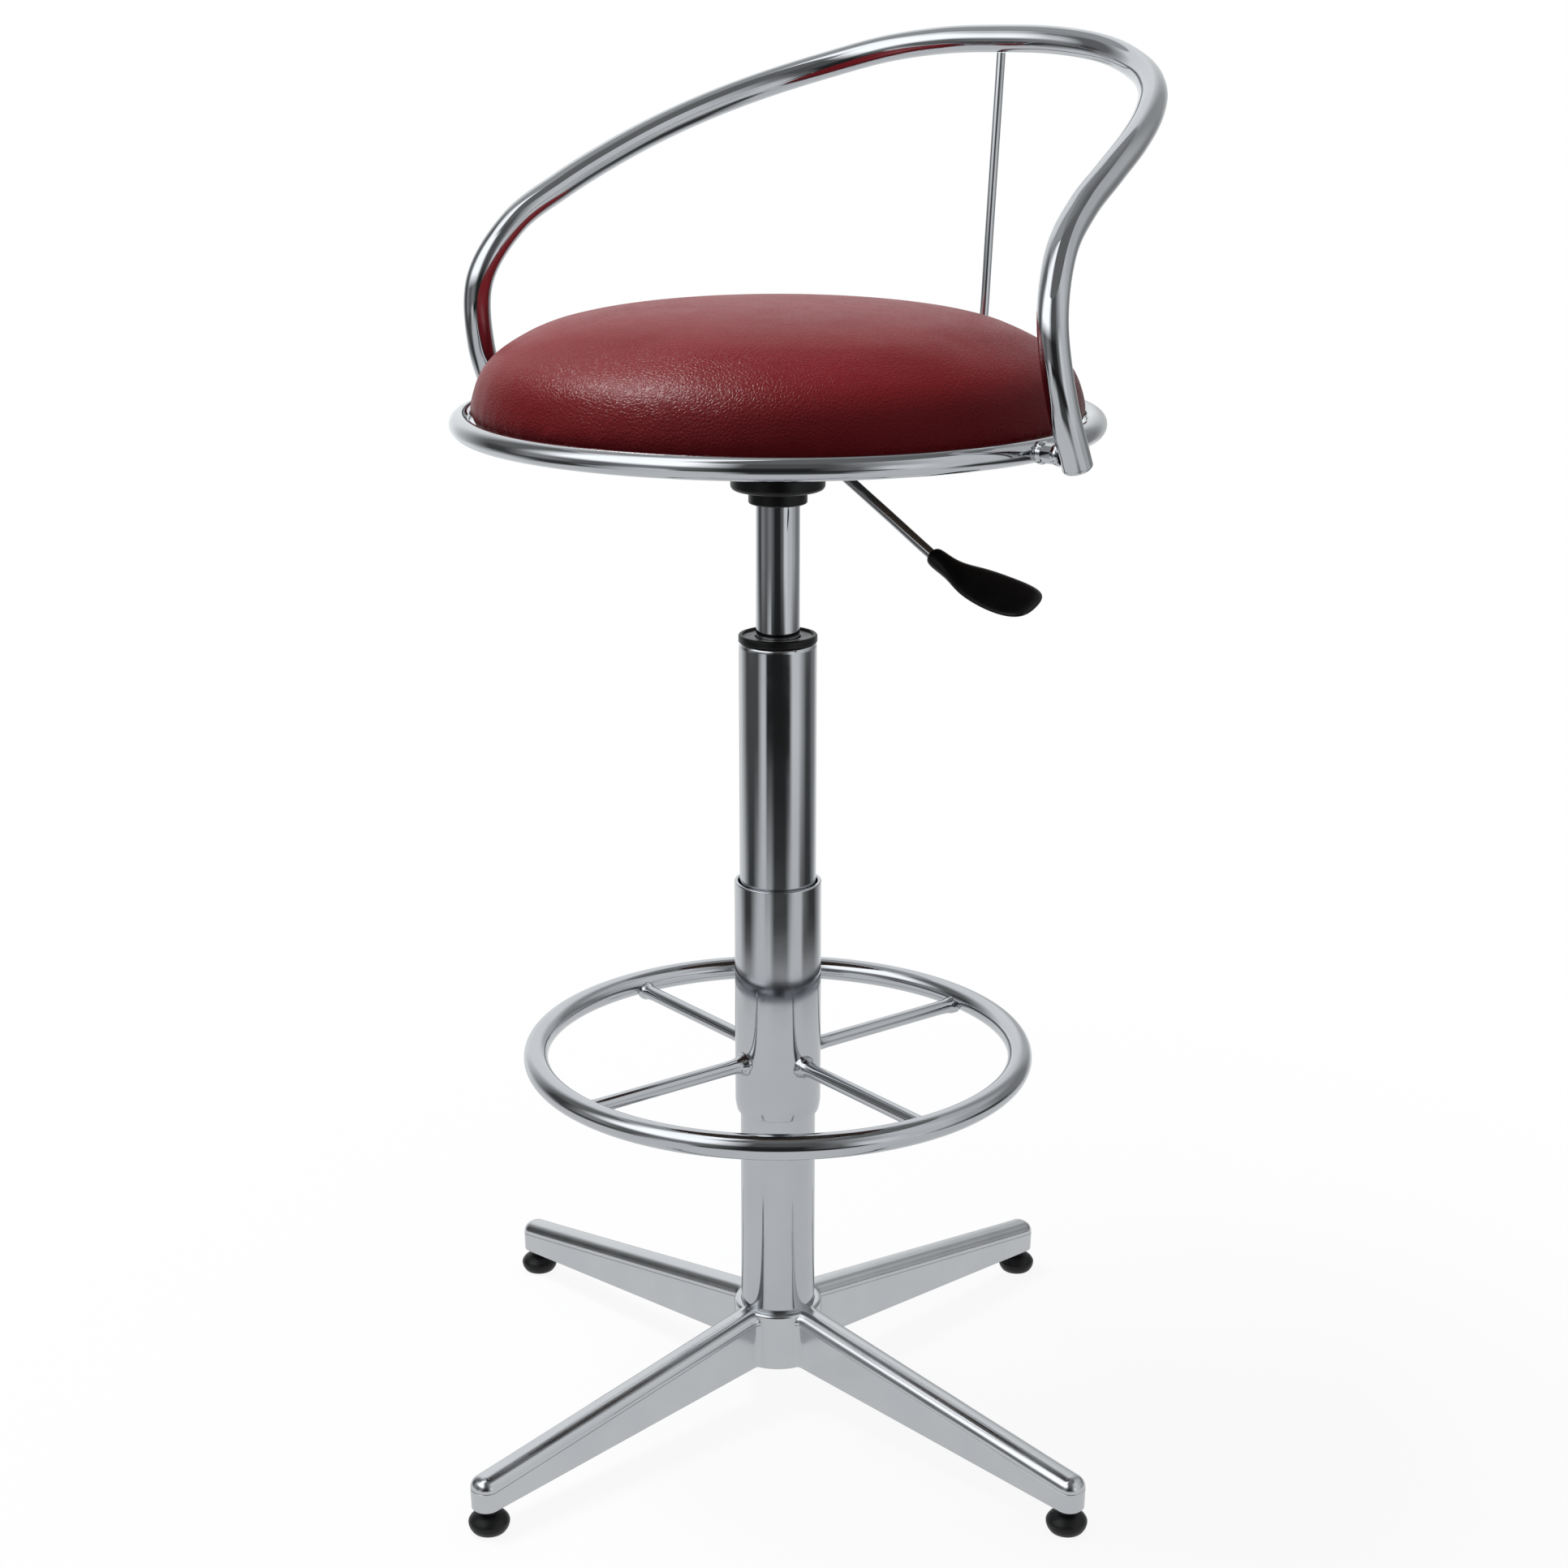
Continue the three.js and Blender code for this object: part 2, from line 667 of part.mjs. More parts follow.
const seatPlate = new THREE.ExtrudeGeometry(seatPlateShape(), {
  depth: seatPlateThickness,
  bevelEnabled: false,
  curveSegments: cornerSegments,
});
add('seat_plate', seatPlate.translate(0, 0, seatPlateBottom), blackSteel);

// Two ears under the plate carry the lever's pivot barrel.
const earShape = new THREE.Shape();
const earTop = seatPlateBottom - seatingGap;
earShape.moveTo(-earHalfLength, earTop - leverHeight);
earShape.lineTo(-earHalfLength, 0);
earShape.absarc(0, -earDrop + earHalfLength, earHalfLength, Math.PI, 2 * Math.PI, false);
earShape.lineTo(earHalfLength, earTop - leverHeight);
const earHole = new THREE.Path();
earHole.absarc(0, 0, pivotStubRadius + runningGap, 0, 2 * Math.PI, true);
earShape.holes.push(earHole);
const earInner = barrelHalfWidth + runningGap;
[1, -1].forEach((side, k) => {
  const ear = new THREE.ExtrudeGeometry(earShape, {
    depth: earThickness,
    bevelEnabled: false,
    curveSegments: cornerSegments,
  }).rotateX(90 * degrees)
    .translate(pivotOffset, side * (earInner + earThickness / 2) + earThickness / 2, leverHeight);
  add(`lever_ear_${k + 1}`, ear, blackSteel);
});

// Lever: a bent rod through a pivot barrel, with a paddle grip pushed over its outer end.
const stubEnd = earInner + earThickness + seatingGap;
const barrel = turned([
  [0, -stubEnd],
  [pivotStubRadius, -stubEnd],
  [pivotStubRadius, -barrelHalfWidth],
  [barrelRadius, -barrelHalfWidth],
  [barrelRadius, barrelHalfWidth],
  [pivotStubRadius, barrelHalfWidth],
  [pivotStubRadius, stubEnd],
  [0, stubEnd],
], smallRound).rotateX(90 * degrees).translate(pivotOffset, 0, leverHeight);
const barrelHole = bar(leverRodRadius + seatingGap, pivotOffset - barrelRadius - cutOverrun,
  pivotOffset + barrelRadius + cutOverrun, leverHeight, smallRound);
add('lever_pivot', cut(barrel, barrelHole), steel);

// The lever's centre line as shares of its reach past the bend and of its fall.
const leverRouteShares = [
  [0, 0],
  [0.03, 0.012],
  [0.07, 0.055],
  [0.3, 0.36],
  [0.58, 0.735],
  [0.66, 0.82],
];
const gripCentreShares = [
  [0.525, 0.665],
  [0.575, 0.725],
  [0.635, 0.8],
  [0.71, 0.868],
  [0.8, 0.925],
  [0.9, 0.968],
  [0.972, 0.99],
  [1, 1],
];
// Half width and half height of each grip section, as shares of the paddle's own half sizes.
const gripWidthShares = [0.37, 0.41, 0.42, 0.56, 0.85, 1, 0.8, 0.36];
const gripHeightShares = [0.92, 0.98, 0.95, 0.94, 1, 0.96, 0.78, 0.4];

function leverPoint([out, down]) {
  const reach = THREE.MathUtils.lerp(leverBendStart, leverReach, out);
  return new THREE.Vector3(reach, 0, leverHeight - down * leverFall);
}

const leverRoute = [
  new THREE.Vector3(leverInnerEnd, 0, leverHeight),
  new THREE.Vector3(pivotOffset, 0, leverHeight),
  ...leverRouteShares.map(leverPoint),
];
const leverCurve = new THREE.CatmullRomCurve3(leverRoute, false, 'centripetal');
add('lever_rod', tubeAlong(leverCurve, leverRodRadius, 0, thinTubeSides, leverSteps), steel);

function gripGeometry() {
  const centres = gripCentreShares.map(leverPoint);
  const sections = centres.map((centre, k) => {
    const before = centres[Math.max(k - 1, 0)];
    const after = centres[Math.min(k + 1, centres.length - 1)];
    const along = after.clone().sub(before).normalize();
    const up = new THREE.Vector3(-along.z, 0, along.x);
    const across = new THREE.Vector3(0, gripHalfWidth * gripWidthShares[k], 0);
    up.multiplyScalar(gripHalfHeight * gripHeightShares[k]);
    return circlePoints(1, tubeSides).map((point) => centre.clone()
      .addScaledVector(up, point.y).addScaledVector(across, point.x));
  });
  const rodHole = tubeAlong(leverCurve, leverRodRadius + seatingGap, 0, thinTubeSides, leverSteps);
  return cut(loft(sections), rodHole);
}

add('lever_grip', gripGeometry(), blackPlastic);

// Seat frame: a chromed ring carried by four flat arms on the plate.
add('seat_ring', ring(seatRingRadius, seatRingTube, seatRingHeight, tubeSides, ringSteps), chrome);
const armDrop = seatRingHeight - armTop;
const armOuterRadius = seatRingRadius - Math.sqrt(seatRingTube ** 2 - armDrop ** 2) - runningGap;
for (let k = 0; k < armCount; k += 1) {
  const length = armOuterRadius - armInnerRadius;
  const arm = new THREE.BoxGeometry(length, armWidth, armThickness)
    .translate(armInnerRadius + length / 2, 0, armBottom + armThickness / 2)
    .rotateZ(2 * Math.PI * k / armCount);
  add(`seat_arm_${k + 1}`, arm, blackSteel);
}

// Plywood board with a threaded insert for each bolt.
const boltPlaces = corners.map(([x, y]) => [x * boltOffset, y * boltOffset]);
const holeBottom = boardBottom - cutOverrun;
const holeTop = boardTop + cutOverrun;
const boardHoles = boltPlaces.map(([x, y]) => (
  rod(insertRadius + seatingGap, holeBottom, holeTop, smallRound).translate(x, y, 0)));
const boardDisc = rod(boardRadius, boardBottom, boardTop, cushionRound);
add('seat_board', cut(boardDisc, ...boardHoles), plywood);
const headTop = seatPlateBottom - seatingGap;
const boltProfile = [
  [0, headTop - boltHeadHeight],
  ...boltHeadShares.map(([out, down]) => [out * boltHeadRadius, headTop - down * boltHeadHeight]),
  [boltRadius, headTop],
  [boltRadius, boltTop],
  [0, boltTop],
];
boltPlaces.forEach(([x, y], k) => {
  const insert = sleeve(boltRadius + seatingGap, insertRadius, boardBottom, boardTop, smallRound);
  add(`board_insert_${k + 1}`, insert.translate(x, y, 0), steel);
  add(`seat_bolt_${k + 1}`, turned(boltProfile, smallRound).translate(x, y, 0), steel);
});

// Cushion: foam and vinyl crowned over the board, drawn in at the ring and turned under the board.
function cushionProfile() {
  const crown = [];
  for (let k = 0; k <= crownSteps; k += 1) {
    const angle = k / crownSteps * Math.PI / 2;
    crown.push([cushionRadius * Math.sin(angle) ** (2 / crownRoundness),
      cushionWidest + cushionRise * Math.cos(angle) ** (2 / crownFullness)]);
  }
  return [
    ...crown,
    [cushionWaistRadius, THREE.MathUtils.lerp(cushionWidest, lipBottom, 0.5)],
    [cushionWaistRadius - coverLipThickness, lipBottom],
    [boardRadius - coverLipWidth, lipBottom],
    [boardRadius - coverLipWidth, lipBottom + coverLipThickness],
    [boardRadius + seatingGap, lipBottom + coverLipThickness],
    [boardRadius + seatingGap, boardTop + seatingGap],
    [0, boardTop + seatingGap],
  ];
}

add('seat_cushion', turned(cushionProfile(), cushionRound), redVinyl);

// Back tube. Half of its route, from the lower end to the top, as shares of half width, depth and rise.
const backRouteShares = [
  [1, -0.058, -0.036],
  [0.994, -0.125, 0.145],
  [0.973, -0.142, 0.335],
  [0.928, -0.049, 0.492],
  [0.886, 0.102, 0.591],
  [0.856, 0.266, 0.67],
  [0.819, 0.432, 0.741],
  [0.761, 0.594, 0.806],
  [0.675, 0.747, 0.866],
  [0.55, 0.876, 0.921],
  [0.385, 0.959, 0.97],
  [0.195, 0.993, 0.995],
];
const backPoint = ([side, back, rise]) => new THREE.Vector3(
  side * backHalfWidth, back * backDepth, seatRingHeight + rise * backRise);
const rightHalf = backRouteShares.map(backPoint);
const leftHalf = rightHalf.map((point) => point.clone().setX(-point.x)).reverse();
const backRoute = [...rightHalf, new THREE.Vector3(0, backDepth, backTop), ...leftHalf];
const backCurve = new THREE.CatmullRomCurve3(backRoute, false, 'centripetal');
const backTubeBore = backTubeRadius - backTubeWall;
const backTube = tubeAlong(backCurve, backTubeRadius, backTubeBore, tubeSides, backSteps);
add('backrest_tube', backTube, chrome);

// An end cap closes each lower end of the tube: a round-edged disc with a stem in the bore.
const capDisc = backTubeRadius - endCapEdge;
const capStem = backTubeBore - runningGap;
for (const [k, share] of [[1, 0], [2, 1]]) {
  const end = backCurve.getPointAt(share);
  const outward = backCurve.getTangentAt(share).multiplyScalar(share ? 1 : -1);
  const cap = turned([
    [0, -endCapStem],
    [capStem, -endCapStem],
    [capStem, seatingGap],
    [backTubeRadius, seatingGap],
    [backTubeRadius, seatingGap + endCapThickness - endCapEdge],
    [capDisc, seatingGap + endCapThickness],
    [0, seatingGap + endCapThickness],
  ], tubeSides * 2);
  const turn = new THREE.Quaternion().setFromUnitVectors(new THREE.Vector3(0, 0, 1), outward);
  cap.applyQuaternion(turn).translate(...end.toArray());
  add(`backrest_end_cap_${k}`, cap, chrome);
}

// A short stud on each side joins the tube to the outside of the ring, cut to both.
const studCuts = [
  ring(seatRingRadius, seatRingTube + seatingGap, seatRingHeight, tubeSides, ringSteps),
  tubeAlong(backCurve, backTubeRadius + seatingGap, 0, tubeSides, backSteps),
];
[1, -1].forEach((side, k) => {
  const joint = pointAtHeight(seatRingHeight);
  const reach = Math.hypot(joint.x, joint.y);
  const stud = bar(backStudRadius, seatRingRadius, reach, seatRingHeight, tubeSides)
    .rotateZ(Math.atan2(joint.y, side * joint.x));
  add(`backrest_stud_${k + 1}`, cut(stud, ...studCuts), chrome);
});

// The point of the right half of the back tube at a height near the ring.
function pointAtHeight(height) {
  const [lower, upper] = rightHalf;
  return lower.clone().lerp(upper, (height - lower.z) / (upper.z - lower.z));
}

// Centre rod: leans with the back, then bends in to the outside of the ring.
const backRodTop = backTop - backTubeRadius - seatingGap;
const backRodIn = seatRingOuter + backRodRadius + seatingGap;
const backRodBendHeight = seatRingHeight + backRodBendRise;
const leanAt = (height) => backDepth - backRodLean * (backRodTop - height);
const backRodRoute = [
  [leanAt(backRodTop), backRodTop],
  [leanAt(backRodTop - backRodBendRise), backRodTop - backRodBendRise],
  [leanAt(backRodBendHeight + backRodBendRise), backRodBendHeight + backRodBendRise],
  ...backRodBendShares.map(([out, up]) => [
    THREE.MathUtils.lerp(backRodIn, leanAt(backRodBendHeight), out),
    seatRingHeight + up * backRodBendRise,
  ]),
  [backRodIn, seatRingHeight - backRodDrop],
].map(([back, height]) => new THREE.Vector3(0, back, height));
const backRodCurve = new THREE.CatmullRomCurve3(backRodRoute, false, 'centripetal');
add('backrest_rod', tubeAlong(backRodCurve, backRodRadius, 0, thinTubeSides, backRodSteps), chrome);

export default stool;
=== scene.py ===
# Diner counter stool: the looks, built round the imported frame. Lengths are metres.
from math import atan2, cos, hypot, pi, radians, sin, sqrt

import bmesh
import bpy
from mathutils import Matrix, Vector


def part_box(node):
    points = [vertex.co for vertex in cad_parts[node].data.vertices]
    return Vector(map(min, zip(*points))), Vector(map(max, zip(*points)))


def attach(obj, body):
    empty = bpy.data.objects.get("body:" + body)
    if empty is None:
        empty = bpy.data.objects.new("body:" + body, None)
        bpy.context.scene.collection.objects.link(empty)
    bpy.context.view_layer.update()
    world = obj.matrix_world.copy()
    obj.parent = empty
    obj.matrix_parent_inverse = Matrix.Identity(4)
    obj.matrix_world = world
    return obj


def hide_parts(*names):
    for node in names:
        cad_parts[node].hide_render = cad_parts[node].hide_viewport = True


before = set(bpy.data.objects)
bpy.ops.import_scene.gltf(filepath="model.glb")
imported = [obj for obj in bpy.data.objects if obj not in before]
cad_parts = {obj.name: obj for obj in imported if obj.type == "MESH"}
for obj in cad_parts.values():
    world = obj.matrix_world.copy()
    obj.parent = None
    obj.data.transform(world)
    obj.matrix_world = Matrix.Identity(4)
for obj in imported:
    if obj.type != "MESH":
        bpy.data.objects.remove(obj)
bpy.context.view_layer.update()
scene = bpy.context.scene
scene.view_settings.view_transform = "Standard"


# ---- Camera
# The photograph was taken from the sitter's right, a little above the seat, with a
# normal lens. The camera was fitted to the seat ring, the foot ring and the glides.
camera = bpy.data.objects.new("camera", bpy.data.cameras.new("camera"))
scene.collection.objects.link(camera)
camera.data.lens = 60.1
camera.data.sensor_width = 36
camera.data.shift_x = 0.0039
camera.location = (1.00523, -1.28664, 0.90186)
camera.rotation_euler = (radians(74.043), 0, radians(38))
scene.camera = camera


# ---- Studio
# A pale floor and white air stand round the stool. The curtain is the rest of the
# studio, which only the polished metal sees: a dark side behind the camera, and panels.
def finish(name):
    """A new material: itself, its nodes, its links and its shader."""
    material = bpy.data.materials.new(name)
    material.use_nodes = True
    nodes = material.node_tree.nodes
    return material, nodes, material.node_tree.links, nodes["Principled BSDF"]


def node(nodes, kind, **settings):
    """A shader node. Each setting is one of its properties or the value of an input."""
    made = nodes.new("ShaderNode" + kind)
    for key, value in settings.items():
        if hasattr(made, key):
            setattr(made, key, value)
        else:
            made.inputs[key].default_value = value
    return made


def fed(nodes, links, kind, sources, **settings):
    """A shader node whose inputs, by name or number, come from other nodes."""
    made = node(nodes, kind, **settings)
    for key, source in sources.items():
        links.new(source, made.inputs[key])
    return made


def span(low, high, at_low=0.0, at_high=1.0):
    """The settings of a node that maps one range to another."""
    return {"From Min": low, "From Max": high, "To Min": at_low, "To Max": at_high}


def show(name, shape, material):
    """Makes a smooth-shaded object at the origin from a bmesh, and keeps its sharp edges."""
    sharp_from = radians(38)
    for edge in shape.edges:
        edge.smooth = edge.calc_face_angle(0) < sharp_from
    for face in shape.faces:
        face.smooth = True
    mesh = bpy.data.meshes.new(name)
    shape.to_mesh(mesh)
    shape.free()
    mesh.materials.append(material)
    made = bpy.data.objects.new(name, mesh)
    scene.collection.objects.link(made)
    return made


def plainly_seen(nodes, links):
    """1 where the camera, a reflection or a view through glass sees it, and 1 in a reflection."""
    ray = nodes.new("ShaderNodeLightPath").outputs
    seen = fed(nodes, links, "Math", {0: ray["Is Camera Ray"], 1: ray["Is Glossy Ray"]},
               operation="MAXIMUM")
    plain = fed(nodes, links, "Math", {0: seen.outputs[0], 1: ray["Is Transmission Ray"]},
                operation="MAXIMUM")
    return plain.outputs[0], ray["Is Glossy Ray"]


# The air lights the stool more from overhead than from the sides, and is white to look at.
scene.world = bpy.data.worlds.new("studio_air")
scene.world.use_nodes = True
nodes, links = scene.world.node_tree.nodes, scene.world.node_tree.links
looking = nodes.new("ShaderNodeTexCoord").outputs["Generated"]
apart = fed(nodes, links, "SeparateXYZ", {0: looking})
height = fed(nodes, links, "MapRange", {"Value": apart.outputs["Z"]}, **span(0.1, 0.9))
light_air = fed(nodes, links, "MixRGB", {"Fac": height.outputs[0]},
                Color1=(0.06, 0.061, 0.063, 1), Color2=(0.60, 0.61, 0.62, 1))
plain, glossy = plainly_seen(nodes, links)
air = fed(nodes, links, "MixRGB", {"Fac": plain, "Color1": light_air.outputs[0]}, Color2=(1, 1, 1, 1))
links.new(air.outputs[0], nodes["Background"].inputs["Color"])

# The floor is white where it is looked at, and keeps a faint shadow near the stool.
disc = bmesh.new()
bmesh.ops.create_circle(disc, cap_ends=True, segments=96, radius=1.45)
floor_paint, nodes, links, shader = finish("pale_floor")
plain, glossy = plainly_seen(nodes, links)
paint = fed(nodes, links, "MixRGB", {"Fac": plain},
            Color1=(0.22, 0.22, 0.22, 1), Color2=(0.94, 0.94, 0.95, 1))
links.new(paint.outputs[0], shader.inputs["Base Color"])
shader.inputs["Roughness"].default_value = 0.9
shader.inputs["Specular IOR Level"].default_value = 0.1
place = nodes.new("ShaderNodeTexCoord").outputs["Object"]
reach = fed(nodes, links, "VectorMath", {0: place}, operation="LENGTH").outputs["Value"]
far = fed(nodes, links, "MapRange", {"Value": reach}, **span(0.4, 0.9, 0.91, 1.0))
share = fed(nodes, links, "Math", {0: far.outputs[0], 1: plain}, operation="MULTIPLY")
glow = fed(nodes, links, "MixRGB", {"Fac": glossy}, Color1=(1, 1, 1, 1), Color2=(0.78, 0.79, 0.80, 1))
white = fed(nodes, links, "Emission", {"Color": glow.outputs[0]})
mixed = fed(nodes, links, "MixShader", {0: share.outputs[0], 1: shader.outputs[0], 2: white.outputs[0]})
# Towards its edge the floor fades from reflections, which see the curtain there.
rim = fed(nodes, links, "MapRange", {"Value": reach}, **span(0.76, 1.0))
gone = fed(nodes, links, "Math", {0: rim.outputs[0], 1: glossy}, operation="MULTIPLY")
clear = nodes.new("ShaderNodeBsdfTransparent")
ending = fed(nodes, links, "MixShader", {0: gone.outputs[0], 1: mixed.outputs[0], 2: clear.outputs[0]})
links.new(ending.outputs[0], nodes["Material Output"].inputs["Surface"])
floor = show("floor", disc, floor_paint)

camera_bearing = -52
drop = bmesh.new()
bmesh.ops.create_cone(drop, cap_ends=True, segments=96, radius1=2.2, radius2=2.2, depth=4.4)
bmesh.ops.translate(drop, verts=drop.verts, vec=(0, 0, 1.0))
curtain_cloth, nodes, links, shader = finish("studio_curtain")
place = nodes.new("ShaderNodeTexCoord").outputs["Object"]
parts = fed(nodes, links, "SeparateXYZ", {0: place}).outputs
bearing = fed(nodes, links, "Math", {0: parts["Y"], 1: parts["X"]}, operation="ARCTAN2")
share = fed(nodes, links, "Math", {0: bearing.outputs[0]}, operation="MULTIPLY_ADD")
share.inputs[1].default_value = 1 / (2 * pi)
share.inputs[2].default_value = (180 - camera_bearing) / 360
wrapped = fed(nodes, links, "Math", {0: share.outputs[0]}, operation="FRACT")
# Each panel: where it starts and ends, in degrees to the right of the camera, and how light it
# is. The lists go up from the lower edge of the studio to its ceiling, with the blends between.
studio = [
    [(-180, -120, 0.9), (-94, -78, 0.05), (-58, -22, 0.77), (-10, 22, 0.08), (36, 62, 0.78),
     (72, 112, 0.05), (150, 180, 0.9)],
    [(-180, -165, 0.6), (-152, -138, 0.95), (-104, -62, 0.1), (-47, -38, 0.85), (-32, 34, 0.02),
     (44, 62, 0.88), (92, 106, 0.08), (126, 132, 0.3), (152, 165, 0.85), (178, 180, 0.6)],
    [(-180, -148, 1.0), (-112, -102, 0.08), (-90, -80, 0.33), (-68, -58, 0.18), (-46, -38, 0.3),
     (-14, 10, 0.03), (22, 26, 0.2), (36, 46, 1.0), (56, 74, 0.8), (86, 94, 0.58), (108, 136, 0.3),
     (150, 164, 0.6), (176, 180, 1.0)],
    [(-180, -148, 1.05), (-120, -98, 0.2), (-76, -32, 1.9), (-12, 18, 0.13), (58, 78, 0.85),
     (96, 112, 0.68), (130, 142, 0.42), (166, 180, 1.05)],
    [(-180, -125, 0.5), (-112, -108, 0.4), (-78, -46, 1.8), (-28, 120, 0.2), (150, 165, 0.35),
     (178, 180, 0.5)],
]
blends = [(-0.45, -0.12), (0.0, 0.16), (0.8, 1.4), (3.1, 3.19)]
below = None
for level, panels in enumerate(studio):
    ramp = fed(nodes, links, "ValToRGB", {"Fac": wrapped.outputs[0]})
    stops = [(angle, light) for start, end, light in panels for angle in (start, end)]
    while len(ramp.color_ramp.elements) < len(stops):
        ramp.color_ramp.elements.new(1)
    for element, (angle, light) in zip(ramp.color_ramp.elements, stops):
        element.position = (angle + 180) / 360
        element.color = (light * 0.97, light * 0.99, light, 1)
    if level:
        up = fed(nodes, links, "MapRange", {"Value": parts["Z"]}, **span(*blends[level - 1]))
        ramp = fed(nodes, links, "MixRGB",
                   {"Fac": up.outputs[0], "Color1": below, "Color2": ramp.outputs[0]})
    below = ramp.outputs[0]
glow = fed(nodes, links, "Emission", {"Color": below})
links.new(glow.outputs[0], nodes["Material Output"].inputs["Surface"])
curtain = show("curtain", drop, curtain_cloth)
curtain.visible_camera = curtain.visible_diffuse = curtain.visible_shadow = False
curtain.visible_transmission = curtain.visible_volume_scatter = False


def lamp(name, size, power, turn, height):
    """A square soft lamp, high to the left of the seat, turned so many degrees from its front."""
    away, aim = 0.98, Vector((0, 0, 0.6))
    light = bpy.data.lights.new(name, "AREA")
    light.shape = "SQUARE"
    light.size = size
    light.energy = power
    made = bpy.data.objects.new(name, light)
    made.location = (away * sin(radians(turn)), -away * cos(radians(turn)), height)
    made.rotation_euler = (aim - made.location).to_track_quat("-Z", "Y").to_euler()
    scene.collection.objects.link(made)
    return made


# The curtain holds all that polished metal sees of the studio, so the lamp gives no glare on
# it. The second lamp, just below the first, gives the vinyl its highlight and nothing else.
lamp("key_lamp", 0.9, 41.5, -70, 2.54).visible_glossy = False
gloss_lamp = lamp("gloss_lamp", 0.7, 106, -57, 2.28)
gloss_lamp.visible_diffuse = False


# ---- Star base
# One aluminium sand casting: a hub with four hollow legs that slope down and taper to
# round tips. It is ground and polished all over, and its upper edges are well rounded.
def place_by(nodes):
    """The object coordinates, as a socket that a pattern can use."""
    return nodes.new("ShaderNodeTexCoord").outputs["Object"]


def noise_by(nodes, links, scale, detail):
    """Noise over the piece, as a socket."""
    made = fed(nodes, links, "TexNoise", {"Vector": place_by(nodes)}, Scale=scale, Detail=detail)
    return made.outputs["Fac"]


def grain(nodes, links, shader, layers):
    """Bump from noise layers, each (scale, detail, depth), chained onto the shader."""
    below = None
    for scale, detail, depth in layers:
        noise = noise_by(nodes, links, scale, detail)
        bump = fed(nodes, links, "Bump", {"Height": noise}, Distance=depth, Strength=1.0)
        if below:
            links.new(below, bump.inputs["Normal"])
        below = bump.outputs[0]
    links.new(below, shader.inputs["Normal"])
    return below


def wear(nodes, links, shader, scale, low, high):
    """Noise that moves the roughness between two values."""
    noise = noise_by(nodes, links, scale, 4.0)
    rough = fed(nodes, links, "MapRange", {"Value": noise}, **span(0.3, 0.7, low, high))
    links.new(rough.outputs[0], shader.inputs["Roughness"])


def tint(nodes, links, shader, scale, first, second):
    """Noise that moves the base colour between two colours."""
    mix = fed(nodes, links, "ValToRGB", {"Fac": noise_by(nodes, links, scale, 3.0)})
    for element, position, colour in zip(mix.color_ramp.elements, (0.35, 0.65), (first, second)):
        element.position = position
        element.color = (*colour, 1)
    links.new(mix.outputs[0], shader.inputs["Base Color"])


def coat(name, colours, roughness, relief, metal=0, specular=0.5):
    """A finish whose colour, roughness and fine relief vary a little over the piece."""
    material, nodes, links, shader = finish(name)
    shader.inputs["Metallic"].default_value = metal
    shader.inputs["Specular IOR Level"].default_value = specular
    tint(nodes, links, shader, *colours)
    wear(nodes, links, shader, *roughness)
    grain(nodes, links, shader, relief)
    return material


aluminium = coat("polished_aluminium", (30, (0.56, 0.57, 0.59), (0.59, 0.60, 0.615)), (60, 0.13, 0.20),
                 [(28, 2, 0.0002), (900, 2, 0.000003)], metal=1)

base_turn = radians(-7)
leg_root, leg_tip = 0.0278, 0.267
root_half_width, tip_half_width = 0.010, 0.0097
hub_corner = 0.0295
crease = -0.010
outline = bmesh.new()
tips, roots = [], []
for quarter in range(4):
    across = Matrix.Rotation(quarter * pi / 2, 4, "Z")
    corners = [(leg_root, -root_half_width), (leg_tip, -tip_half_width),
               (leg_tip, tip_half_width), (leg_root, root_half_width)]
    made = [outline.verts.new(across @ Vector((x, y, crease))) for x, y in corners]
    tips += made[1:3]
    roots += [made[0], made[3]]
    for part in (32, 45, 58):
        x, y = hub_corner * cos(radians(part)), hub_corner * sin(radians(part))
        outline.verts.new(across @ Vector((x, y, crease)))
outline.verts.ensure_lookup_table()
outline.faces.new(outline.verts)
outline.normal_update()
for points, offset, segments in ((tips, 0.0088, 8), (roots, 0.0042, 5)):
    bmesh.ops.bevel(outline, geom=points, affect="VERTICES", offset=offset, segments=segments,
                    profile=0.5, material=-1)
outline.normal_update()
top = outline.faces[:][0]
# Up from the crease: a fine groove, then the rounded top of the leg.
steps = [(0.0, 0.0013), (0.0004, 0.0003), (-0.0004, 0.0003)]
shoulder = [(0.0084 * (1 - cos(radians(a))), 0.0081 * sin(radians(a))) for a in range(0, 91, 10)]
steps += [(b[0] - a[0], b[1] - a[1]) for a, b in zip(shoulder, shoulder[1:])]
for thickness, depth in steps:
    bmesh.ops.inset_individual(outline, faces=[top], thickness=thickness, depth=depth,
                               use_even_offset=True)
# Down from the crease: the drafted side, a rounded lower edge and the foot of the leg.
rim_edges = [edge for edge in outline.edges if edge.is_boundary]
wall = bmesh.ops.extrude_edge_only(outline, edges=rim_edges)
bmesh.ops.translate(outline, verts=[v for v in wall["geom"] if isinstance(v, bmesh.types.BMVert)],
                    vec=(0, 0, -0.002))
rim_edges = [edge for edge in outline.edges if edge.is_boundary]
foot = bmesh.ops.contextual_create(outline, geom=rim_edges)["faces"][0]
outline.normal_update()
if foot.normal.z > 0:
    foot.normal_flip()
outline.normal_update()
for thickness, depth in ((0.0003, 0.0285), (0.0003, 0.0006), (0.0006, 0.0004)):
    bmesh.ops.inset_individual(outline, faces=[foot], thickness=thickness, depth=depth,
                               use_even_offset=True)
bmesh.ops.recalc_face_normals(outline, faces=outline.faces)
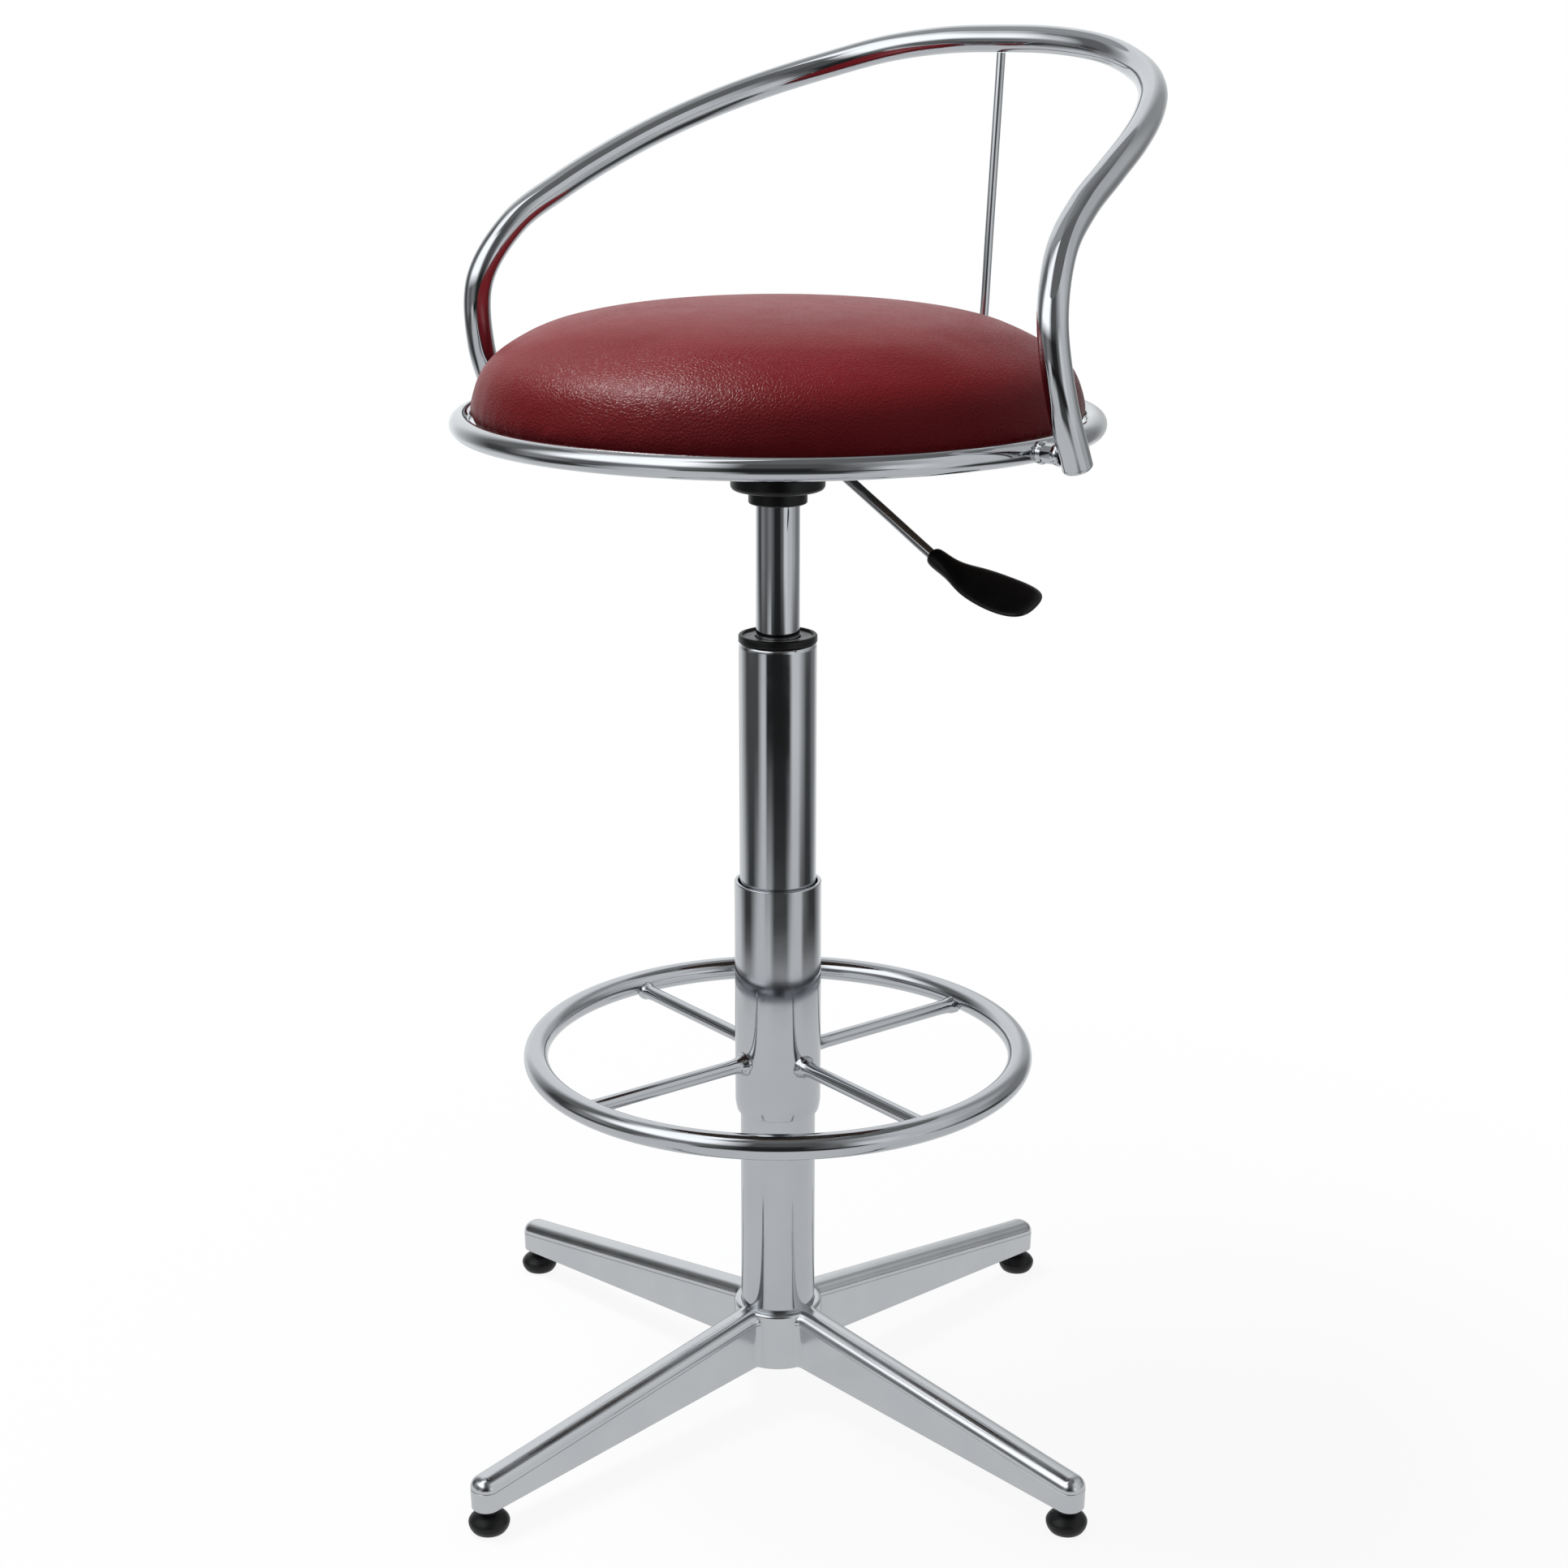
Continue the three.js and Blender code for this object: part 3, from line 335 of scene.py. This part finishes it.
# Cuts across the legs, in mm from the middle, let them bend into their slope.
for cut in (0, 34, 43, 62, 80, 120, 170, 239):
    for side in (cut, -cut) if cut else (0,):
        for normal in ((1, 0, 0), (0, 1, 0)):
            bmesh.ops.bisect_plane(outline, geom=outline.verts[:] + outline.edges[:] + outline.faces[:],
                                   dist=1e-6, plane_co=Vector(normal) * side * 0.001, plane_no=normal)
# The hollow under each leg.
low = min(v.co.z for v in outline.verts)
hollow_start, hollow_end, hollow_roof, rib = 0.043, 0.239, -0.0141, 0.0018
for axis in (0, 1):
    for way in (1, -1):
        under = [face for face in outline.faces
                 if face.normal.z < -0.99 and abs(face.calc_center_median().z - low) < 1e-5
                 and hollow_start < face.calc_center_median()[axis] * way < hollow_end]
        bmesh.ops.inset_region(outline, faces=under, thickness=rib, depth=0, use_even_offset=True)
        wall = bmesh.ops.extrude_face_region(outline, geom=under)
        bmesh.ops.delete(outline, geom=under, context="FACES_ONLY")
        for made in wall["geom"]:
            if isinstance(made, bmesh.types.BMVert):
                made.co.z = hollow_roof
# The legs slope down and grow shallower from the hub to their tips.
slope_start, slope_length, side_top = 0.030, 0.227, -0.0101
for v in outline.verts:
    out = max(abs(v.co.x), abs(v.co.y))
    down = min(max((out - slope_start) / slope_length, 0), 1)
    leg_top, leg_foot = 0.0695 - 0.0305 * down, 0.0295 - 0.0125 * down
    if v.co.z >= side_top:
        v.co.z = leg_top + v.co.z
    else:
        depth_share = (side_top - v.co.z) / (side_top - low)
        v.co.z = (leg_top + side_top) * (1 - depth_share) + leg_foot * depth_share
bmesh.ops.rotate(outline, verts=outline.verts, cent=(0, 0, 0), matrix=Matrix.Rotation(base_turn, 3, "Z"))


def lathe(shape, corners, steps=96, closed=False):
    """Turns half a section round the Z axis. Each corner is a radius, a height and a rounding in mm."""
    known = set(shape.verts)
    points = [shape.verts.new((r / 1000, 0, z / 1000)) for r, z, rounding in corners]
    for a, b in zip(points, points[1:] + points[:1] if closed else points[1:]):
        shape.edges.new((a, b))
    for point, corner in zip(points, corners):
        if corner[2]:
            bmesh.ops.bevel(shape, geom=[point], affect="VERTICES", offset=corner[2] / 1000, segments=6,
                            profile=0.5, material=-1)
    line = [v for v in shape.verts if v not in known]
    bmesh.ops.spin(shape, geom=line + [e for e in shape.edges if e.verts[0] in line], cent=(0, 0, 0),
                   axis=(0, 0, 1), angle=2 * pi, steps=steps, use_merge=True)
    made = [v for v in shape.verts if v not in known]
    bmesh.ops.remove_doubles(shape, verts=made, dist=1e-6)
    made = [v for v in shape.verts if v not in known]
    bmesh.ops.recalc_face_normals(shape, faces=[f for f in shape.faces if f.verts[0] in made])


def fit(made, body, slot, *nodes_replaced):
    """Fixes a piece to its body and hides the CAD nodes that it stands for. Long flat faces keep their own
    shading.
    """
    if not made.modifiers:
        made.modifiers.new("flat faces stay flat", "WEIGHTED_NORMAL").keep_sharp = True
    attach(made, body)
    if nodes_replaced:
        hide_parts(*nodes_replaced)


# The hub, with the column's bore in its top.
lathe(outline, [(25.1, 60, 0), (25.1, 69.2, 0.3), (30, 69.2, 2.8), (30, 29.2, 0.5), (12, 29.2, 0.8),
                (12, 34, 0)], 128)
fit(show("base_casting", outline, aluminium), "base", "polished_aluminium", "star_base")


# ---- Glides
# Four black moulded mushroom glides with a steel stud in each, screwed up into the
# bosses under the leg tips. They carry the stool on small flat faces.
rubbery = coat("black_glide", (40, (0.005, 0.005, 0.006), (0.009, 0.009, 0.010)), (90, 0.34, 0.46),
               [(1500, 2, 0.00003)], specular=0.3)
zinc = coat("zinc_steel", (120, (0.42, 0.42, 0.41), (0.52, 0.52, 0.50)), (200, 0.26, 0.42),
            [(700, 3, 0.00004)], metal=1)


def dress(material, *names):
    """Gives CAD nodes a material."""
    for name in names:
        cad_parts[name].material_slots[0].material = material


def middle_of(name):
    """The middle of a CAD node's box."""
    low_corner, high_corner = (Vector(c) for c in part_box(name))
    return (low_corner + high_corner) / 2


for number in range(1, 5):
    middle = middle_of("glide_%d" % number)
    glide = bmesh.new()
    lathe(glide, [(0, 0, 0), (10.2, 0, 1.2), (13.3, 4.6, 2.5), (12.9, 8.4, 2.5), (9.0, 12.6, 3),
                  (5.5, 13.4, 0.8), (5.5, 17.6, 0)], 48)
    bmesh.ops.translate(glide, verts=glide.verts, vec=(middle.x, middle.y, 0))
    fit(show("glide_moulding_%d" % number, glide, rubbery), "base", "black_rubber", "glide_%d" % number)
    dress(zinc, "glide_stud_%d" % number)


# ---- Column
# Steel tube, 50 mm across, chromed and buffed. It stands in the hub's bore. Inside are
# the acetal guide sleeve, the foot plate and the lower half of the thrust bearing.
plate_colours = (18, (0.50, 0.512, 0.535), (0.53, 0.54, 0.56))
chrome = coat("chrome", plate_colours, (45, 0.035, 0.075), [(22, 1, 0.00012)], metal=1)
buffed = coat("buffed_chrome", plate_colours, (45, 0.06, 0.12), [(22, 1, 0.00012)], metal=1)

tube = bmesh.new()
lathe(tube, [(23, 34.4, 0), (25, 34.4, 0), (25, 529.7, 3), (23, 529.7, 0.4)], 128, closed=True)
fit(show("column_chromed", tube, buffed), "base", "chrome", "column_tube")

acetal = coat("acetal", (60, (0.78, 0.77, 0.73), (0.84, 0.83, 0.80)), (120, 0.32, 0.45),
              [(900, 2, 0.00002)])
dress(acetal, "column_guide_sleeve")

steel = coat("bright_steel", (90, (0.48, 0.49, 0.50), (0.56, 0.56, 0.57)), (260, 0.18, 0.32),
             [(1200, 2, 0.00002)], metal=1)
dress(steel, "column_foot_plate", "bearing_lower_race", "bearing_cage", "bearing_upper_race",
      "piston_rod", "piston", "rod_washer", "rod_clip", "rod_guide", "valve_block", "release_pin")


# ---- Column cap
# A black moulded cap pressed into the top of the column. It has a raised rim and a
# sunk ring of grey plastic, on which the gas spring's tube runs.
moulded = coat("black_moulding", (35, (0.004, 0.004, 0.005), (0.007, 0.007, 0.008)), (80, 0.32, 0.44),
               [(1800, 2, 0.000008)], specular=0.3)
grey = coat("grey_moulding", (60, (0.17, 0.172, 0.178), (0.20, 0.202, 0.208)), (120, 0.25, 0.38),
            [(1500, 2, 0.00002)])

cap = bmesh.new()
lathe(cap, [(14.6, 521, 0), (22.7, 521, 0), (22.7, 530, 0), (25.3, 530, 0.6), (25.3, 534.8, 1.2),
            (22.7, 534.8, 0.7), (22.5, 533.4, 0), (14.6, 533.4, 0.5)], 128, closed=True)
cap_piece = show("cap_moulding", cap, moulded)
cap_piece.data.materials.append(grey)
sunk_radius = 0.0225
for face in cap_piece.data.polygons:
    if face.normal.z > 0.9 and hypot(face.center.x, face.center.y) < sunk_radius:
        face.material_index = 1
fit(cap_piece, "base", "black_plastic", "column_cap")
dress(rubbery, "rod_bump_stop")


# ---- Footrest
# A chromed sleeve pressed on the column, a ring of 16 mm tube and four round spokes,
# welded together before plating, so the weld beads show as small chromed swellings.
sleeve = bmesh.new()
lathe(sleeve, [(25.1, 213, 0), (25.9, 209, 0.4), (27.1, 209, 0.8), (28.5, 214, 4), (28.5, 370, 0.9),
               (26.3, 370, 0.4), (25.1, 367, 0)], 128, closed=True)
fit(show("collar_chromed", sleeve, buffed), "base", "chrome", "footrest_collar")


def hoop(shape, radius, tube_radius, height, steps=192, sides=40):
    """A ring of round tube about the Z axis, in mm."""
    start = bmesh.ops.create_circle(shape, segments=sides, radius=tube_radius / 1000)["verts"]
    bmesh.ops.rotate(shape, verts=start, cent=(0, 0, 0), matrix=Matrix.Rotation(pi / 2, 3, "X"))
    bmesh.ops.translate(shape, verts=start, vec=(radius / 1000, 0, height / 1000))
    bmesh.ops.spin(shape, geom=start + [e for e in shape.edges if e.verts[0] in start], cent=(0, 0, 0),
                   axis=(0, 0, 1), angle=2 * pi, steps=steps, use_merge=True)
    bmesh.ops.remove_doubles(shape, verts=shape.verts, dist=1e-6)
    bmesh.ops.recalc_face_normals(shape, faces=shape.faces)


def ripple(verts, *waves):
    """Makes weld beads uneven round the Z axis. Each wave is a size, a count and a start."""
    for v in verts:
        bearing = atan2(v.co.y, v.co.x)
        swell = 1 + sum(size * sin(count * bearing + start) for size, count, start in waves)
        v.co.x *= swell
        v.co.y *= swell


ring = bmesh.new()
hoop(ring, 161, 8, 251)
fit(show("foot_ring_chromed", ring, chrome), "base", "chrome", "foot_ring")

inner_bead, outer_bead, spoke_height = 0.0295, 0.1505, 0.247
for number in range(1, 5):
    spoke = bmesh.new()
    lathe(spoke, [(8, 27, 0), (7.9, 28.9, 1.2), (6.6, 31, 1.6), (5.4, 33.4, 2), (4.75, 38, 4),
                  (4.75, 143, 4), (5.1, 149, 2), (6.2, 152.4, 1.4), (6.4, 155.5, 0.8), (5, 158, 0)], 40)
    beads = [v for v in spoke.verts if abs(v.co.z - inner_bead) < 0.002 or v.co.z > outer_bead]
    ripple(beads, (0.02, 9, 1.7 * number), (0.03, 4, 0))
    bmesh.ops.rotate(spoke, verts=spoke.verts, cent=(0, 0, 0), matrix=Matrix.Rotation(pi / 2, 3, "Y"))
    bmesh.ops.translate(spoke, verts=spoke.verts, vec=(0, 0, spoke_height))
    middle = middle_of("foot_spoke_%d" % number)
    bmesh.ops.rotate(spoke, verts=spoke.verts, cent=(0, 0, 0),
                     matrix=Matrix.Rotation(atan2(middle.y, middle.x), 3, "Z"))
    fit(show("spoke_chromed_%d" % number, spoke, chrome), "base", "chrome", "foot_spoke_%d" % number)


# ---- Gas spring
# The chromed pressure tube slides in the column. Its top narrows to a taper that jams
# in the seat's socket, and the release pin stands out of it under the lever.
spring_tube = bmesh.new()
lathe(spring_tube, [(12, 230, 0), (14, 230, 0.4), (14, 622, 0), (13.4, 640, 0.5), (12, 640, 0)], 96,
      closed=True)
fit(show("pressure_tube_chromed", spring_tube, chrome), "seat", "chrome", "pressure_tube")


# ---- Taper socket and cover
# The socket is turned steel, welded under the seat plate. A black moulded cover with
# two steps is pushed up round it.
dress(zinc, "taper_socket")
cover = bmesh.new()
lathe(cover, [(14.4, 619, 0.4), (18.7, 619, 1.2), (18.7, 627.6, 0.4), (30, 627.6, 3.2), (30, 637, 0.6),
              (28, 637, 0.4), (28, 631, 0), (18.2, 631, 0), (18.2, 622, 0), (14.4, 622, 0)], 96,
      closed=True)
fit(show("cover_moulding", cover, moulded), "seat", "black_plastic", "socket_cover")


# ---- Seat plate, arms and bolts
# Pressed and flat steel, welded and coated black. The arms reach from the plate to the
# ring, and four bolts hold the plate to inserts in the board.
coated = coat("black_coated_steel", (50, (0.016, 0.016, 0.017), (0.024, 0.024, 0.025)),
              (150, 0.36, 0.52), [(1100, 3, 0.00006)])
dress(coated, "seat_plate", "lever_ear_1", "lever_ear_2", "seat_arm_1", "seat_arm_2", "seat_arm_3",
      "seat_arm_4")
dress(zinc, "seat_bolt_1", "seat_bolt_2", "seat_bolt_3", "seat_bolt_4",
      "board_insert_1", "board_insert_2", "board_insert_3", "board_insert_4", "lever_pivot")


# ---- Seat ring
# One hoop of 14 mm chromed tube round the foot of the cushion. It is rolled round,
# closed with a ground weld and welded to the ends of the arms.
hoop_piece = bmesh.new()
hoop(hoop_piece, 197, 7, 672, 224, 36)
fit(show("seat_ring_chromed", hoop_piece, chrome), "seat", "chrome", "seat_ring")


# ---- Board
# Round birch plywood, 12 mm thick, with its grain showing from below. The four bolts
# hold it to the seat plate.
plywood, nodes, links, shader = finish("plywood")
wave = fed(nodes, links, "TexWave", {"Vector": place_by(nodes)}, bands_direction="Y", Scale=9.0,
           Distortion=6.0, Detail=4.0)
shade = fed(nodes, links, "ValToRGB", {"Fac": wave.outputs["Fac"]})
shade.color_ramp.elements[0].color = (0.16, 0.10, 0.06, 1)
shade.color_ramp.elements[1].color = (0.24, 0.16, 0.10, 1)
links.new(shade.outputs[0], shader.inputs["Base Color"])
shader.inputs["Roughness"].default_value = 0.65
grain(nodes, links, shader, [(300, 4, 0.0001)])
dress(plywood, "seat_board")


# ---- Cushion
# A foam pad under dark red grained vinyl, crowned, pulled down tight over the board and
# drawn in just above the ring.
vinyl, nodes, links, shader = finish("red_vinyl")
tint(nodes, links, shader, 14, (0.182, 0.0118, 0.0160), (0.196, 0.0132, 0.0178))
wear(nodes, links, shader, 60, 0.32, 0.37)
shader.inputs["Specular IOR Level"].default_value = 0.055
# The grain is raised pebbles about 2.3 mm across with narrow creases between them.
stray = fed(nodes, links, "TexNoise", {"Vector": place_by(nodes)}, Scale=260.0, Detail=2.0)
warp = fed(nodes, links, "VectorMath", {0: stray.outputs["Color"], 2: place_by(nodes)},
           operation="MULTIPLY_ADD")
warp.inputs[1].default_value = (0.0016, 0.0016, 0.0016)
pebble = fed(nodes, links, "TexVoronoi", {"Vector": warp.outputs[0]}, feature="DISTANCE_TO_EDGE",
             Scale=430.0)
raised = fed(nodes, links, "MapRange", {"Value": pebble.outputs["Distance"]},
             interpolation_type="SMOOTHSTEP", **span(0.0, 0.3))
below = grain(nodes, links, shader, [(60, 2, 0.00006), (1300, 3, 0.00002)])
pebbles = fed(nodes, links, "Bump", {"Height": raised.outputs[0], "Normal": below}, Distance=0.00014,
              Strength=1.0)
links.new(pebbles.outputs[0], shader.inputs["Normal"])

# The skin starts from the solid's form, made even, and a little lower so that it can swell.
pad = bmesh.new()
pad.from_mesh(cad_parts["seat_cushion"].data)
bmesh.ops.delete(pad, geom=pad.edges[:], context="EDGES_FACES")
bmesh.ops.remove_doubles(pad, verts=pad.verts, dist=1e-5)
bmesh.ops.convex_hull(pad, input=pad.verts)
bmesh.ops.delete(pad, geom=[v for v in pad.verts if not v.link_faces], context="VERTS")
bmesh.ops.scale(pad, verts=pad.verts, vec=(1.002, 1.002, 0.984), space=Matrix.Translation((0, 0, -0.6689)))
cushion = show("cushion_vinyl", pad, vinyl)
even = cushion.modifiers.new("even skin", "REMESH")
even.mode = "VOXEL"
even.voxel_size = 0.005
bpy.context.view_layer.update()
cushion.data = bpy.data.meshes.new_from_object(cushion.evaluated_get(bpy.context.evaluated_depsgraph_get()))
cushion.modifiers.remove(even)
# The foam swells under the vinyl, which is held at its lower edge.
held_below, tucked_below, most_swelling = 0.683, 0.6715, 0.0016
held = cushion.vertex_groups.new(name="held_edge")
held.add([v.index for v in cushion.data.vertices if v.co.z < held_below], 1.0, "REPLACE")
cloth = cushion.modifiers.new("swelling", "CLOTH")
cloth.settings.vertex_group_mass = held.name
cloth.settings.use_pressure = True
cloth.settings.uniform_pressure_force = 4
cloth.settings.effector_weights.gravity = 0
for number in range(1, 21):
    scene.frame_set(number)
swollen = cushion.evaluated_get(bpy.context.evaluated_depsgraph_get()).to_mesh()
places = [v.co.copy() for v in swollen.vertices]
cushion.modifiers.remove(cloth)
scene.frame_set(1)
for v, place in zip(cushion.data.vertices, places):
    step = place - v.co
    v.co += step * min(1, most_swelling / max(step.length, 1e-9))
pad = bmesh.new()
pad.from_mesh(cushion.data)
for lowest, times in ((held_below, 8), (tucked_below, 3)):
    for number in range(times):
        bmesh.ops.smooth_vert(pad, verts=[v for v in pad.verts if v.co.z > lowest], factor=0.5,
                              use_axis_x=True, use_axis_y=True, use_axis_z=True)
pad.to_mesh(cushion.data)
pad.free()
# The board fills a pocket below the foam, and the vinyl turns under its edge.
pocket = bmesh.new()
lathe(pocket, [(0, 660, 0), (159, 660, 0), (159, 669.9, 0), (183.3, 669.9, 0), (183.3, 682.5, 0),
               (0, 682.5, 0)], 128)
pocket = show("pocket", pocket, vinyl)
cushion.modifiers.new("finer", "SUBSURF").levels = 1
hollow = cushion.modifiers.new("room for the board", "BOOLEAN")
hollow.operation = "DIFFERENCE"
hollow.object = pocket
bpy.context.view_layer.update()
made = bpy.data.meshes.new_from_object(cushion.evaluated_get(bpy.context.evaluated_depsgraph_get()))
for old in (cushion, pocket):
    bpy.data.objects.remove(old)
pad = bmesh.new()
pad.from_mesh(made)
cushion = show("cushion_vinyl", pad, vinyl)
fit(cushion, "seat", "red_vinyl", "seat_cushion")
glossed = bpy.data.collections.new("glossed")
glossed.objects.link(cushion)
gloss_lamp.light_linking.receiver_collection = glossed

staple_count, staple_circle = 44, 0.166
staples = bmesh.new()
for number in range(staple_count):
    wire = bmesh.ops.create_cube(staples, size=1)["verts"]
    bmesh.ops.scale(staples, verts=wire, vec=(0.0011, 0.0105, 0.0007))
    bmesh.ops.translate(staples, verts=wire, vec=(staple_circle + 0.001 * sin(2.3 * number), 0, 0.66875))
    bmesh.ops.rotate(staples, verts=wire, cent=(0, 0, 0),
                     matrix=Matrix.Rotation(radians(4 + 360 / staple_count * number), 3, "Z"))
fit(show("cushion_staples", staples, zinc), "seat", "steel")


# ---- Back
# One loop of 18 mm chromed tube, bent in a mandrel bender, with flat plugs in its ends,
# a short stud to the ring on each side and a thin rod up the middle.
def smooth_route(points, between=10):
    """A centripetal spline through the points, in mm, as a list of places in metres."""
    points = [Vector(p) / 1000 for p in points]
    ends = [points[0] * 2 - points[1]] + points + [points[-1] * 2 - points[-2]]
    route = []
    for a, b, c, d in zip(ends, ends[1:], ends[2:], ends[3:]):
        ta, tb, tc = sqrt((b - a).length), sqrt((c - b).length), sqrt((d - c).length)
        leave = ((b - a) / ta - (c - a) / (ta + tb) + (c - b) / tb) * tb
        arrive = ((c - b) / tb - (d - b) / (tb + tc) + (d - c) / tc) * tb
        for step in range(between):
            t = step / between
            route.append(b * (2 * t ** 3 - 3 * t ** 2 + 1) + leave * (t ** 3 - 2 * t ** 2 + t)
                         + c * (3 * t ** 2 - 2 * t ** 3) + arrive * (t ** 3 - t ** 2))
    return route + [points[-1]]


def bent(name, route, radius, material, sides):
    """A round bar or tube along a route, as a curve made into a mesh."""
    curve = bpy.data.curves.new(name, "CURVE")
    curve.dimensions = "3D"
    curve.bevel_depth = radius / 1000
    curve.bevel_resolution = sides
    curve.use_fill_caps = True
    line = curve.splines.new("POLY")
    line.points.add(len(route) - 1)
    for point, place in zip(line.points, route):
        point.co = (*place, 1)
    rough = bpy.data.objects.new(name, curve)
    shape = bmesh.new()
    scene.collection.objects.link(rough)
    bpy.context.view_layer.update()
    shape.from_mesh(rough.evaluated_get(bpy.context.evaluated_depsgraph_get()).to_mesh())
    bpy.data.objects.remove(rough)
    bmesh.ops.remove_doubles(shape, verts=shape.verts, dist=1e-6)
    bmesh.ops.recalc_face_normals(shape, faces=shape.faces)
    return show(name, shape, material)


# Half the loop, as shares of its half width, its depth and its height above the ring.
half = [(1, -.058, -.022), (.994, -.125, .145), (.973, -.142, .335), (.928, -.049, .492), (.886, .102, .591),
        (.856, .266, .67), (.819, .432, .741), (.761, .594, .806), (.675, .747, .866), (.55, .876, .921),
        (.385, .959, .97), (.195, .993, .995)]
right_side = [(227 * x, 243.5 * y, 672 + 228 * z) for x, y, z in half]
left_side = [(-x, y, z) for x, y, z in reversed(right_side)]
back_route = smooth_route(right_side + [(0, 243.5, 900)] + left_side, 12)
fit(bent("back_tube_chromed", back_route, 9, chrome, 10), "seat", "chrome", "backrest_tube")

straight = [(0, 228.8 + 14.7 * (1 - s), 713 + 177.7 * (1 - s)) for s in (0, .33, .66, 1)]
rod_foot = [(0, 226.6, 702), (0, 219.5, 691), (0, 211.5, 684.5), (0, 207.3, 679), (0, 207.3, 667)]
fit(bent("back_rod_chromed", smooth_route(straight + rod_foot, 8), 3, chrome, 6),
    "seat", "chrome", "backrest_rod")
dress(chrome, "backrest_stud_1", "backrest_stud_2")
for number, way in ((1, 1), (2, -1)):
    plug = bmesh.new()
    lathe(plug, [(7.4, -4, 0), (7.4, 0.05, 0), (9, 0.05, 0.25), (9, 2.4, 1.1), (0, 2.4, 0)], 64)
    end, before = back_route[::way][0], back_route[::way][1]
    bmesh.ops.rotate(plug, verts=plug.verts, cent=(0, 0, 0),
                     matrix=(end - before).to_track_quat("Z", "Y").to_matrix())
    bmesh.ops.translate(plug, verts=plug.verts, vec=end)
    fit(show("back_plug_%d" % number, plug, chrome), "seat", "chrome", "backrest_end_cap_%d" % number)
    beads = bmesh.new()
    lathe(beads, [(5.9, 202.6, 0), (7.2, 204.4, 1.2), (6.0, 207.4, 0)], 40)
    lathe(beads, [(6.0, 214.6, 0), (7.0, 217.6, 1.2), (5.9, 219.6, 0)], 40)
    ripple(beads.verts, (0.03, 7, number), (0.02, 12, 0))
    turned = Matrix.Rotation(atan2(-17.4, 226.7 * way), 3, "Z") @ Matrix.Rotation(pi / 2, 3, "Y")
    bmesh.ops.rotate(beads, verts=beads.verts, cent=(0, 0, 0), matrix=turned)
    bmesh.ops.translate(beads, verts=beads.verts, vec=(0, 0, 0.672))
    fit(show("stud_welds_%d" % number, beads, chrome), "seat", "chrome")


# ---- Lever
# A steel rod tilts on a barrel between the ears. Its inner end presses the release pin,
# and its outer end carries a flat black moulded paddle.
def lever_at(out, down):
    """A place on the lever, in mm, from its share of the way out and of the way down."""
    return (33 + 160 * out, 0, 650 - 74 * down)


inner_end = [(-1, 0, 650), (12, 0, 650), (26, 0, 650)]
outer_end = [lever_at(*s) for s in ((.03, .012), (.07, .055), (.3, .36), (.58, .735), (.66, .82))]
fit(bent("lever_rod_bent", smooth_route(inner_end + outer_end, 8), 3.25, chrome, 6),
    "lever", "steel", "lever_rod")

paddle = bmesh.new()
stations = [lever_at(*s) for s in ((.525, .665), (.575, .725), (.635, .785), (.71, .838), (.8, .895),
                                   (.9, .943), (.972, .967), (1, .978))]
widths = [16 * s for s in (.40, .42, .50, .92, 1.0, 1.04, .9, .5)]
depths = [6.2 * s for s in (.98, 1.02, .98, .82, .66, .6, .54, .34)]
rolls = [radians(s) for s in (0, 4, 12, 20, 26, 26, 24, 22)]
for index, station in enumerate(stations):
    before, after = stations[max(index - 1, 0)], stations[min(index + 1, len(stations) - 1)]
    slope = atan2(after[2] - before[2], after[0] - before[0])
    ring_verts = bmesh.ops.create_circle(paddle, segments=16, radius=1)["verts"]
    for v in ring_verts:
        v.co = Vector((0, v.co.x * widths[index], v.co.y * depths[index]))
        v.co.rotate(Matrix.Rotation(-slope, 3, "Y") @ Matrix.Rotation(rolls[index], 3, "X"))
        v.co = (v.co + Vector(station)) / 1000
    if index:
        loops = [set(ring_verts), set(last_ring)]
        bmesh.ops.bridge_loops(paddle, edges=[e for e in paddle.edges
                                              if any(set(e.verts) <= loop for loop in loops)])
    last_ring = ring_verts
bmesh.ops.holes_fill(paddle, edges=paddle.edges, sides=0)
bmesh.ops.recalc_face_normals(paddle, faces=paddle.faces)
grip = show("lever_paddle", paddle, moulded)
soft = grip.modifiers.new("moulded rounding", "SUBSURF")
soft.levels = soft.render_levels = 2
fit(grip, "lever", "black_plastic", "lever_grip")
